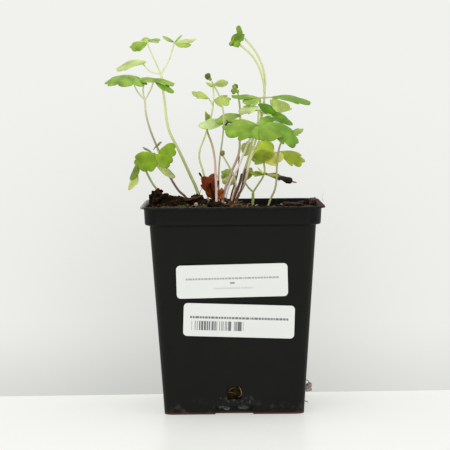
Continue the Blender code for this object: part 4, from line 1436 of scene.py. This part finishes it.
# The low leaf at the left: broad round leaflets over the rim, one of them hanging
# folded towards the soil.
VIVID_TOP = paint(136, 170, 34)
LOW_TOP = paint(146, 170, 62)
PALE_LIME = paint(226, 234, 146)
CURL_TOP = paint(136, 150, 92)
OLIVE_STEM = paint(190, 196, 126)
LOW_FORK = (-38.8, -8, 127.2)
LOW_SIDE = (-48, -7, 123)
grow(
    "leaf_low_left", "green_leaf",
    [(-31, 1, 96), (-34, -1, 103.6), (-41, -5, 113.5), (-43.2, -7, 121), LOW_FORK],
    (0.55, 0.42),
    [OLIVE_STEM, paint(176, 196, 112), paint(176, 196, 112)],
    top=VIVID_TOP, under=FRESH_UNDER,
    stalks=[[LOW_FORK, (-43, -6, 125.8), LOW_SIDE]],
    blades=[Blade((-38.2, -8.5, 126.8), (-47.2, -14, 120), 12.8, -48, 30, 24, 0, 3, 2, 0.1, 0.05,
                  0.25),
            Blade((-47.4, -6.5, 122.6), (-50.6, -8, 113.8), 12.5, 8, 20, 30, 0, 1, 3, 0.1, 0.1,
                  0.3, top=paint(118, 142, 40), under=PALE_LIME, thin=0.4),
            Blade((-48, -6, 118.4), (-51.4, -8, 108.6), 11.5, 8, 25, 30, 0, 1, 3, 0.1, 0.1, 0.3,
                  top=paint(200, 214, 112), under=PALE_LIME),
            Blade((-37.4, -8.4, 127.6), (-27.8, -10, 129.4), 8, 64, 15, 20, 0, 2, 2, 0.12, 0.05,
                  0.7),
            Blade((-38.8, -9, 126.4), (-30.2, -13, 121.6), 7.6, 62, 24, 24, 0, 2, 2, 0.12, 0.06,
                  0.4),
            Blade((-40.2, -5, 123.4), (-29, -4, 114.6), 4.6, -60, 20, 20, 10, 1, 3, 0.2, 0.1, 0.7,
                  top=PALE_UNDER, under=PALE_UNDER, thin=0.7),
            Blade((-40.5, -5, 127.6), (-45, -2, 129.9), 3, 0, 10, 15, 0, 1, 3, top=CURL_TOP,
                  under=CURL_TOP, thin=0.2),
            Blade((-39.6, -6, 128.6), (-35.6, -4, 132), 1.8, 20, 70, 30, 0, 1, 3, top=CURL_TOP,
                  under=CURL_TOP, crumple=0.8, thin=0.2)],
)

# The young leaf in the middle: two small leaflets, one of them folded, on a stalk that
# is pinkish low down.
PINK_LOW = paint(226, 194, 178)
PINK_STEM = paint(254, 234, 224)
YOUNG_TOP = (-13.7, 5, 142.8)
grow(
    "leaf_young_centre", "green_leaf",
    [(-7.5, -1, 96), (-8, -1, 102.5), (-8.3, -1, 113), (-9.9, 1.5, 129.5), (-12.9, 4.5, 138.5),
     YOUNG_TOP],
    (0.65, 0.4),
    [PINK_STEM, PINK_STEM, PINK_LOW, paint(176, 180, 110), paint(176, 196, 112)],
    top=LOW_TOP, under=PALE_LIME,
    blades=[Blade(YOUNG_TOP, (-13.5, 4, 147.8), 5, 90, 10, 30, 30, 1, 3),
            Blade(YOUNG_TOP, (-11.1, 3, 145.8), 4, 60, 10, 30, 0, 1, 3)],
)

# The slender leaf: yellow-green leaflets spread along a thin pale stalk.
SUNNY_TOP = paint(184, 206, 108)
SUNNY_UNDER = paint(192, 208, 122)
LIME_STEM = paint(226, 240, 158)
SLENDER_SIDE = (-12, 4, 154.6)
SLENDER_MID = (-9.6, 7, 153.6)
SLENDER_TOP = (-9.8, 6, 161.2)
grow(
    "leaf_slender", "yellow_green_leaf",
    [(-11.5, 11, 96), (-12.3, 11, 103), (-14.8, 9.5, 117), (-16.9, 9.5, 125.5), (-13.8, 10, 136),
     (-10.9, 9, 145.2), SLENDER_MID, SLENDER_TOP],
    (0.5, 0.35),
    [CREAM_STEM, LIME_STEM, CREAM_STEM, LIME_STEM],
    top=SUNNY_TOP, under=SUNNY_UNDER, skin=PALE_SKIN,
    stalks=[[(-9.9, 7.6, 151), (-11.2, 6, 153.2), SLENDER_SIDE]],
    blades=[Blade(SLENDER_SIDE, (-20.6, 3, 157.4), 7.5, -32, 15, 20, 0, 3, 1, 0.2),
            Blade(SLENDER_MID, (-0.9, 4, 152.6), 8.5, 50, 30, 20, 0, 3, 2, 0.3),
            Blade(SLENDER_TOP, (-2.2, 4, 162), 7, 34, 50, 20, 0, 3, 1, 0.1),
            Blade(SLENDER_TOP, (-13.2, 4, 161.6), 4.5, -34, 20, 20, 0, 1, 3)],
)

# The furled leaf: still a tight dark bud at the top of its long thin stalk.
BUD_TOP = paint(96, 116, 52)
BUD_UNDER = paint(134, 146, 86)
FURLED_TOP = (-10.5, -5, 163.1)
grow(
    "leaf_furled", "deep_green_leaf",
    [(-6.2, 7.5, 96), (-6.8, 7.5, 103.5), (-6.8, 4, 120), (-4.9, -4, 136), (-4.4, -7, 145),
     (-6, -6.5, 153.8), FURLED_TOP],
    (0.42, 0.32),
    [PINK_STEM, PINK_STEM, paint(206, 206, 160), paint(206, 210, 160), paint(196, 206, 146),
     paint(176, 186, 116)],
    buds=[((-12.5, -5, 165.2), (1.6, 1.4, 1.7), BUD_TOP, BUD_UNDER),
          ((-11.3, -5.1, 163.8), (0.7, 0.6, 0.7), BUD_UNDER, BUD_UNDER)],
)

# The leaf that is opening: half unrolled, olive green, with its pale underside out.
OPENING_TOP = paint(160, 180, 82)
OPENING_UNDER = paint(186, 204, 112)
UNFOLDING_TOP = (2.8, 10, 157.3)
grow(
    "leaf_unfolding", "olive_leaf",
    [(-4.5, 3, 96), (-5, 3, 103), (-0.8, 4, 116.6), (3.3, 4.5, 127.4), (3.6, 6.5, 134.5),
     (3.8, 10, 148.5), UNFOLDING_TOP],
    (0.7, 0.42),
    [PINK_STEM, paint(206, 184, 168), paint(204, 180, 160), paint(210, 212, 156),
     paint(190, 206, 124)],
    top=OPENING_TOP,
    blades=[Blade((2.4, 9.8, 158.4), (-0.8, 9, 157.8), 3.4, -70, 40, 50, 0, 2, 2, 0.2,
                  under=OPENING_UNDER, crumple=0.7),
            Blade((2.2, 9.8, 158.8), (0.6, 9, 161.5), 3, -70, 60, 50, 0, 1, 3, 0.2,
                  under=OPENING_TOP, crumple=0.7)],
    buds=[((1.4, 9.6, 160.2), (1.5, 1.2, 1.4), BUD_TOP, OPENING_TOP),
          ((0.5, 9.3, 158.1), (1.5, 1.2, 1.1), OPENING_TOP, OPENING_UNDER),
          ((2.5, 9.9, 157.8), (0.9, 0.8, 1.0), OPENING_TOP, OPENING_UNDER)],
)

# The front leaf: four broad leaflets facing forwards and a smaller one behind them.
BROAD_TOP = paint(136, 172, 56)
BROAD_SIDE = paint(132, 178, 60)
BROAD_UNDER = paint(176, 200, 112)
FRONT_FORK = (13.3, -12, 140.7)
grow(
    "leaf_front", "green_leaf",
    [(1.6, -4, 96), (2.2, -4, 104), (5.8, -6, 111.5), (8, -8.5, 121), (11, -10.5, 132),
     FRONT_FORK],
    (0.6, 0.5),
    [paint(112, 88, 60), BROWN_STEM, PINK_STEM, LIME_STEM, CREAM_STEM],
    top=BROAD_TOP, under=BROAD_UNDER,
    blades=[Blade(FRONT_FORK, (-4.8, -18, 138), 16.5, -38, 34, 28, 0, 3, 2, 0.18, 0.06, 0.25),
            Blade((13, -12.2, 140.7), (9.8, -20.5, 134.3), 11, -14, 40, 30, 0, 3, 2, 0.16, 0.08,
                  0.4),
            Blade((14.2, -12.5, 141.2), (22.6, -20, 134.2), 15.5, 20, 44, 34, 0, 3, 2, 0.14, 0.06,
                  0.3),
            Blade((16, -10.5, 142.2), (32, -14, 130.8), 10.5, 50, 66, 25, 0, 3, 2, 0.16, 0.06,
                  top=BROAD_SIDE),
            Blade(FRONT_FORK, (20.4, -3, 145.6), 7.5, 16, 20, 24, 0, 2, 2, 0.15, top=BROAD_SIDE)],
)

# The leaf behind it at the right: mostly pale blades, on a long stalk with three side
# stalks.
# A chalky pale underside, its green raised above 1 as painted light, brighter than any blade's own
# colour
CHALKY_LIT_UNDER = (0.92, 1.2, 0.54, 1.0)
RIM_TOP = paint(160, 190, 86)
DEEP_TOP = paint(90, 142, 22)
RIGHT_FORK = (13.2, 0, 148.6)
RIGHT_INNER = (4.4, 2, 146.4)
RIGHT_OUTER = (18.6, 1, 147.6)
RIGHT_BACK = (21.3, 9, 146.8)
grow(
    "leaf_mid_right", "deep_green_leaf",
    [(-3.5, -3, 96), (-3.4, -3, 104.5), (-1.9, -3, 110.3), (3, -3, 120.5), (8.2, -2, 133),
     (12.4, -1, 142), RIGHT_FORK],
    (0.5, 0.45),
    [PINK_LOW, PINK_STEM, PINK_STEM, CREAM_STEM, LIME_STEM],
    under=PALE_UNDER, skin=PALE_SKIN,
    stalks=[[RIGHT_FORK, (9, 1.5, 148), RIGHT_INNER, (-2.8, 0, 142.8)],
            [RIGHT_FORK, (16, 0.5, 148.6), RIGHT_OUTER], [RIGHT_FORK, (17, 5, 146.6), RIGHT_BACK]],
    stalk_radius=0.34,
    blades=[Blade((13, -1, 150.2), (3, -4, 147.4), 8, -30, 20, 14, top=paint(206, 226, 152),
                  thin=0.74),
            Blade(RIGHT_INNER, (-8.8, -3, 142.6), 8, -28, 20, 15, 0, 3, 1, 0.12, top=RIM_TOP),
            Blade((-2.8, 0, 142.8), (-17, -2, 140.3), 9, -35, 20, 10, 0, 3, 1, 0.12, 0.1, 0.4,
                  top=paint(210, 230, 156), thin=0.74),
            Blade((12.6, -1, 151.6), (21.4, -6, 146.8), 6, 48, 50, 50, 0, 3, 1, 0.15, top=DEEP_TOP,
                  thin=0.35),
            Blade((17.6, 0.5, 148.2), (30, -3, 141), 7, 30, 30, 30, 0, 3, 1, 0.15,
                  top=paint(122, 168, 56), thin=0.5),
            Blade((15.6, 1.5, 149), (23.4, 1, 144.4), 5.4, -40, 20, 20, 0, 3, 1, 0.12,
                  top=PALE_UNDER),
            Blade((15.6, -0.6, 147.4), (26.4, -3.4, 141.4), 3.2, 60, 20, 20, 0, 1, 3, 0.1,
                  top=CHALKY_LIT_UNDER, under=CHALKY_LIT_UNDER, thin=0.7),
            Blade((22.2, 5, 146.6), (24, 6, 153.9), 19, -70, 14, 20, 0, 3, 2, 0.13, 0.06, 0.8,
                  top=paint(216, 238, 136), under=paint(216, 238, 136))],
)

# The top leaf at the right: dark flat leaflets seen nearly edge-on.
DARK_TOP = paint(126, 168, 56)
TOP_FORK = (13.8, 3, 154.7)
TOP_OUTER = (18.8, 2, 155)
grow(
    "leaf_top_right", "deep_green_leaf",
    [(1.7, 4, 96), (1.8, 4, 103), (5, 4, 115), (9.7, 4.5, 125), (13.6, 4.5, 134), (14.4, 3.5, 144),
     TOP_FORK],
    (0.5, 0.42),
    [PINK_LOW, PINK_STEM, LIME_STEM, CREAM_STEM, OLIVE_STEM],
    top=DARK_TOP, under=FRESH_UNDER,
    stalks=[[TOP_FORK, TOP_OUTER]],
    stalk_radius=0.36,
    blades=[Blade(TOP_FORK, (-1, 2, 155.5), 10, -14, 14, 15, 0, 3, 2, 0.16, 0.06, thin=0.45),
            Blade(TOP_FORK, (5.2, -3, 151.9), 8, -40, 30, top=RIM_TOP),
            Blade(TOP_OUTER, (39.8, -1, 151.7), 12.5, 15, 36, 20, 0, 3, 2, 0.16, 0.06, 0.4,
                  thin=0.45)],
)

# The nodding leaf: young, dark and crumpled, hung from two arching stalks that are
# the tallest of the plant.
NODDING_TOP = paint(150, 182, 66)
NODDING_UNDER = paint(146, 168, 84)
NODDING_FORK = (16.2, 8, 157)
NODDING_OUTER = (6.2, 7, 184.8)
NODDING_INNER = (3.2, 6, 181.9)
grow(
    "leaf_nodding", "deep_green_leaf",
    [(-0.2, -1, 96), (0.3, -1, 103.2), (4, -0.5, 112.8), (8.4, 0.5, 125.6), (9.6, 3, 132),
     (15.2, 7.5, 147), NODDING_FORK],
    (0.7, 0.55),
    [paint(96, 86, 56), paint(100, 90, 60), paint(208, 212, 150), paint(220, 226, 168),
     paint(220, 226, 168)],
    under=NODDING_UNDER,
    stalks=[[NODDING_FORK, (16.4, 8, 165), (12.6, 8, 176.4), NODDING_OUTER],
            [NODDING_FORK, (15.2, 6.5, 164.5), (10.7, 6, 174.8), NODDING_INNER]],
    stalk_radius=0.5,
    blades=[Blade((5.2, 6.6, 188.2), (-1.5, 4.4, 180.9), 4.4, -68, 16, 22, 6, 3, 1, 0.12, 0.08,
                  0.5, top=NODDING_TOP, crumple=0.9, thin=0.5),
            Blade((4.8, 6.2, 187), (0.9, 4, 180.2), 3.6, -70, 20, 30, 0, 1, 3, 0.1, 0.16, 0.4,
                  top=paint(134, 172, 48), crumple=0.9, thin=0.5),
            Blade((5.4, 6.4, 185.8), (2.3, 6, 190.6), 2.9, -75, 20, 40, 10, 1, 3, 0.1, 0.1, 0.4,
                  top=paint(120, 152, 56), crumple=0.8, thin=0.4),
            Blade((6.1, 6.1, 186.6), (2.2, 4, 184.6), 4.2, -70, 30, 50, 0, 2, 2, 0.2,
                  top=paint(114, 148, 46), crumple=1.0, thin=0.3),
            Blade((2.6, 4.4, 187.2), (1.2, 3.6, 183.4), 1.7, -60, 20, 50, 0, 1, 3, 0.1,
                  top=paint(104, 144, 42), crumple=0.6, thin=0.3),
            Blade(NODDING_INNER, (0.8, 4, 180), 3.6, -20, 30, 50, 0, 1, 3, top=NODDING_UNDER,
                  crumple=0.8)],
)

# The leaf at the far right: a bare slanting petiole with three small leaflets.
FAR_TOP = (28.5, 0, 136.6)
grow(
    "leaf_far_right", "green_leaf",
    [(17, -4, 95), (18.4, -5, 102.4), (21.4, -6, 110), (22.3, -6, 122), (24.2, -4, 132), FAR_TOP],
    (0.5, 0.4),
    [paint(186, 192, 130), paint(184, 186, 136), paint(178, 176, 142), PINK_LOW],
    top=FRESH_TOP, under=PALE_LIME,
    blades=[Blade(FAR_TOP, (35.6, -2, 138.6), 8, 30, 20),
            Blade(FAR_TOP, (24.4, 9, 139.6), 8, 0, 20),
            Blade(FAR_TOP, (33.5, 9, 138.4), 8, 0, 20)],
)

# The yellowing leaf: an old one that forks close to the soil. Its leaflets fade from
# green to yellow, and one has died back to a dark brown tip.
YELLOW_TOP_TONE = paint(214, 238, 80)
YELLOW_UNDER = paint(196, 200, 96)
FADED_TOP = paint(172, 190, 58)
DRY_TIP = paint(40, 26, 15)
YELLOW_NODE = (10.4, 2, 107.4)
YELLOW_FORK = (15.9, 3, 116.4)
YELLOW_TOP = (15.9, 8, 122.2)
YELLOW_SIDE = (6, 6, 112.6)
YELLOW_HIGH = (13, 12, 127)
YELLOW_BACK = (11, 15, 128.5)
grow(
    "leaf_yellowing", "yellow_green_leaf",
    [(9.5, 2, 95), (10.1, 2, 100.4), YELLOW_NODE],
    (0.75, 0.6),
    [paint(150, 158, 96), paint(156, 168, 96), paint(184, 196, 110)],
    top=FADED_TOP, under=YELLOW_UNDER, skin=leaf_skin("leaf_yellow", paint(240, 240, 130)),
    stalks=[[YELLOW_NODE, (8.2, 3, 109.4), YELLOW_SIDE],
            [YELLOW_NODE, (12.5, 2, 110.5), YELLOW_FORK, YELLOW_TOP], [YELLOW_TOP, YELLOW_HIGH],
            [YELLOW_TOP, (19, 10, 125), (24.4, 11, 127.6)],
            [YELLOW_TOP, (13, 12.5, 125.5), YELLOW_BACK]],
    stalk_radius=0.42,
    blades=[Blade(YELLOW_SIDE, (9.8, 5, 119.4), 5.4, 62, 20),
            Blade(YELLOW_FORK, (8.6, 3, 117.2), 8, -20, 15),
            Blade(YELLOW_FORK, (28, 3, 113.8), 8, 22, 20, 20, 0, 3, 1, 0.2, 0.1, 0.6,
                  top=paint(206, 204, 84), tip_tone=DRY_TIP),
            Blade((23.6, 3.4, 114.4), (29.8, 3, 112.4), 4.4, 70, 60, 60, 0, 1, 3, 0.2, top=DRY_TIP,
                  under=DRY_TIP, crumple=1.2, thin=0.1),
            Blade((29, 3, 112.8), (32.4, 3, 111.9), 1.2, 40, 20, 30, 0, 1, 3, 0.1,
                  top=paint(170, 150, 96), under=paint(120, 96, 60)),
            Blade(YELLOW_FORK, (12.3, 1, 119.3), 4.5, -30, 20, 20, 0, 1, 3, top=YELLOW_TOP_TONE),
            Blade(YELLOW_TOP, (9, 6, 125), 8, -48, 25, top=paint(166, 200, 80)),
            Blade(YELLOW_TOP, (26, 6, 125.4), 10, 50, 25, top=paint(244, 242, 124)),
            Blade((10.4, 12, 127.8), (21.2, 9, 128.8), 12.6, 58, 24, 20, -12, 3, 1, 0.12,
                  top=YELLOW_TOP_TONE, thin=0.7),
            Blade((10, 6.6, 125.6), (19.8, 5.6, 126.2), 6.6, 66, 30, 40, 0, 3, 1, 0.12, thin=0.3),
            Blade((24.4, 11, 127.6), (36, 6, 121), 9.5, 42, 34, 24, 0, 3, 2, 0.2),
            Blade(YELLOW_BACK, (4.5, 15, 129.8), 10.5, -50, 20, 20, 0, 3, 1, 0.15,
                  top=paint(172, 192, 96))],
)

# The low round leaf behind the stalks: green above and pale towards the soil.
ROUND_TOP = (0.2, 14, 112.5)
grow(
    "leaf_low_round", "green_leaf",
    [(1.5, 14, 95), (1, 14, 102.5), (1.2, 14.5, 108), ROUND_TOP],
    (0.45, 0.4),
    [LIME_STEM, LIME_STEM],
    under=PALE_LIME,
    blades=[Blade((2.2, 14, 114.2), (-6, 11, 116), 8, -66, 25, 30, 0, 3, 2, 0.1, 0.06, 0.2,
                  top=paint(162, 192, 92)),
            Blade((1.8, 11.4, 112.6), (-5.4, 9.6, 112.4), 5, -80, 20, 30, 0, 3, 1, 0.1, 0.06, 0.2,
                  top=paint(216, 220, 150))],
)

# The low bud: a leaf that has not opened, brownish green, on a stalk as thin as wire.
grow(
    "leaf_furled_low", "olive_leaf",
    [(-0.5, -8, 96), (-0.2, -8, 104.5), (1.5, -8, 112), (-1.1, -8, 119.2), (-5, -8, 126.1)],
    (0.45, 0.35),
    [PINK_LOW, PINK_LOW, OLIVE_STEM, OLIVE_STEM],
    buds=[((-5.2, -8, 126.9), (1.1, 1.0, 1.5), paint(130, 126, 66), paint(150, 140, 84))],
)

# The dead leaf: last year's, rust brown, dry and crumpled down onto the crown.
RUST_TOP = paint(176, 88, 16)
RUST_UNDER = paint(140, 62, 14)
RUST_DARK = paint(70, 30, 12)
grow(
    "leaf_dead", "dead_leaf",
    [(-8.5, 3, 97), (-9.4, 3, 101.5), (-10, 3, 105)],
    (0.6, 0.5),
    [RUST_DARK, RUST_DARK],
    top=RUST_TOP, under=RUST_DARK, skin=leaf_skin("leaf_rust", paint(224, 112, 24)),
    blades=[Blade((-9.2, 3, 102.6), (-12.7, 2.5, 116.4), 11.5, 84, 20, 40, 12, 3, 2, 0.16, 0.12,
                  1.5, under=RUST_UNDER, crumple=1.2, thin=0.25),
            Blade((-9, 3.4, 102.4), (-14.2, 3, 112.4), 4.4, 84, 20, 50, 0, 3, 1, 0.2, 0.1, 0.8,
                  top=RUST_DARK, crumple=1.0, thin=0.1),
            Blade((-9.4, 2.6, 104), (-4.8, 1.5, 108.8), 5.4, 70, 40, 50, 0, 3, 1, 0.2, crumple=1.2,
                  thin=0.25),
            Blade((-15, 2.6, 114), (-16.9, 2.5, 117), 1.5, 70, 40, 60, 0, 1, 3, 0.2, top=RUST_DARK,
                  crumple=0.5, thin=0.2),
            Blade((-10, 2, 103.6), (-10.2, 1.6, 111.4), 4.4, 76, 50, 60, 0, 1, 3, 0.2,
                  top=RUST_UNDER, crumple=1.4, thin=0.2)],
)

# The bare stalk: what is left of a leaf that has dropped off, thin, dry and brown.
grow(
    "stem_bare", "bare_stem",
    [(-1.2, 8, 96), (-0.8, 8, 104.5), (1.7, 8, 113), (2.8, 8, 118), (3.4, 8, 125.5)],
    (0.4, 0.3),
    [paint(88, 60, 44), paint(128, 104, 84)],
)

# The crown's dry sheath with the stubs of two old stalks, and a black twig that has
# fallen on the front leaf. Each has its route and its radius at the foot, in mm, and
# its colours at the foot and the tip.
SHEATH = paint(96, 52, 34)
SHEATH_EDGE = paint(132, 78, 52)
STUB = paint(112, 68, 50)
TWIG = paint(20, 15, 9)
CROWN_BITS = [
    ([(-3.5, -9, 100.4), (-1, -8.5, 102.6), (2, -7, 104.4), (3.6, -6, 106)], 0.9, SHEATH,
     SHEATH_EDGE),
    ([(-1.5, -9.5, 100.6), (2, -9, 102.4), (5, -8, 103.2)], 0.8, SHEATH, SHEATH_EDGE),
    ([(1, -10, 100.4), (4, -10, 101.8), (7, -9, 101.6)], 0.6, SHEATH_EDGE, SHEATH),
    ([(4.6, -9.5, 117), (3, -9.8, 111), (0.4, -10, 104), (-1.6, -10, 99.4)], 0.62, STUB,
     paint(84, 52, 38)),
    ([(6.4, -10, 119.4), (4.6, -10.2, 111), (2.2, -10.4, 104), (1, -10.4, 99.4)], 0.5, STUB,
     paint(120, 96, 64)),
    ([(-3.6, -17.2, 141.2), (-2.9, -17.6, 142.1), (-1.9, -17.8, 142.6), (-0.5, -17.4, 142.7)],
     0.56, TWIG, TWIG),
    ([(-2.1, -17.8, 142.5), (-2.7, -17.4, 143.2), (-3.2, -17, 143.6)], 0.42, TWIG, TWIG),
]
litter = Growth()
for bit in CROWN_BITS:
    strand(litter, *bit)
show("crown_litter", leaned(litter.mesh("crown_litter")),
     [litter_finish("dry_husk", 0.6, 0.5, 0.0)], "dead_leaf")

# The studio: a white board that ends just behind the pot, pale surroundings, and soft
# lights from above, in front and at both sides.
BOARD_BACK = 37.0 * MM
BOARD_SIDE = 0.9
BOARD_DEPTH = 1.5
BOARD_THICK = 0.02
BOARD_TURN = math.radians(2.2)


def board_finish():
    """A smooth white board with a soft glow of its own and a faint cloudiness."""
    finish = Finish("white_board")
    cloud = finish.place.noise(60.0, 3.0)
    colour = cloud.blend(paint(182, 183, 180), paint(187, 188, 185))
    return finish.dress(
        base_color=colour, roughness=0.34 + 0.1 * cloud, specular=0.2,
        glow=paint(169, 170, 165), glow_strength=1.0,
    )


board = block(
    (0, BOARD_BACK - BOARD_DEPTH / 2, -BOARD_THICK / 2),
    (2 * BOARD_SIDE, BOARD_DEPTH, BOARD_THICK), BOARD_TURN,
)
board.name = "board"
board.data.materials.append(board_finish())

# What the camera sees behind the board: three pale bands, one over the other, with a
# painted shadow of the pot low in the middle. Three greys light the scene in their place.
BACKDROP_SHADOW_MIDDLE = -0.006
BACKDROP_SHADOW_REACH = 0.12
BACKDROP_SHADOW_TINT = (0.77, 0.77, 0.77, 1)
LIGHT_FRONT = (0.62, 0.62, 0.62, 1)
LIGHT_BEHIND = (0.72, 0.72, 0.71, 1)
LIGHT_ABOVE = (0.85, 0.85, 0.85, 1)
world = bpy.data.worlds.new("studio")
world.use_nodes = True
bpy.context.scene.world = world
sky_tree = world.node_tree
sky_coordinates = sky_tree.nodes.new("ShaderNodeTexCoord")
towards = Shade(sky_tree, sky_coordinates.outputs["Generated"])
sideways, behind, rise = (towards.axis(index) for index in range(3))
below = sideways.rises(-0.2, 0.2).blend(paint(214, 215, 210), paint(222, 223, 218))
seen = rise.rises(-0.155, -0.105).blend(below, paint(237, 238, 234))
seen = rise.rises(-0.11, 0.03).blend(seen, paint(241, 242, 238))
# A painted shadow of the pot on the backdrop, low in the middle
beside = 1 - (sideways - BACKDROP_SHADOW_MIDDLE).size().rises(0.0, BACKDROP_SHADOW_REACH)
seen = seen.tinted(BACKDROP_SHADOW_TINT, beside * (1 - rise.rises(-0.16, 0.03)))
lighting = behind.rises(-0.7, 0.5).blend(LIGHT_FRONT, LIGHT_BEHIND)
lighting = rise.rises(0.2, 0.9).blend(lighting, LIGHT_ABOVE)
camera_ray = rise.node("ShaderNodeLightPath", {}, {})
shown = camera_ray.blend(lighting, seen)
fit(sky_tree, sky_tree.nodes["Background"], {"Color": shown, "Strength": 1.0})


def soft_light(name, place, target, size, power):
    """A round soft box at a place, turned to its target."""
    lamp = bpy.data.lights.new(name, "AREA")
    lamp.shape = "DISK"
    lamp.size = size
    lamp.energy = power
    made = linked(name, lamp)
    made.location = place
    made.rotation_euler = (Vector(target) - Vector(place)).to_track_quat("-Z", "Y").to_euler()


PLANT_MIDDLE = (0, 0, 0.1)
soft_light("key", (-0.55, -1.1, 0.65), PLANT_MIDDLE, 0.9, 4.0)
soft_light("fill", (0.8, -1.0, 0.4), PLANT_MIDDLE, 0.9, 2.2)
soft_light("top", (0, 0.2, 1.3), PLANT_MIDDLE, 0.8, 2.4)

# The camera stands level with the leaves' middle and looks slightly down, and the
# picture is turned by half a degree.
CAMERA_PLACE = (-0.0038, -1.0, 0.15156)
CAMERA_DOWN = 0.0607
CAMERA_TURN = 0.0087
LENS = 159.14
lens = bpy.data.cameras.new("camera")
lens.sensor_width = 36.0
lens.lens = LENS
camera = linked("camera", lens)
camera.matrix_world = (
    Matrix.Translation(CAMERA_PLACE)
    @ Matrix.Rotation(math.pi / 2 - CAMERA_DOWN, 4, "X")
    @ Matrix.Rotation(-CAMERA_TURN, 4, "Z")
)
bpy.context.scene.camera = camera
bpy.context.scene.view_settings.view_transform = "Standard"
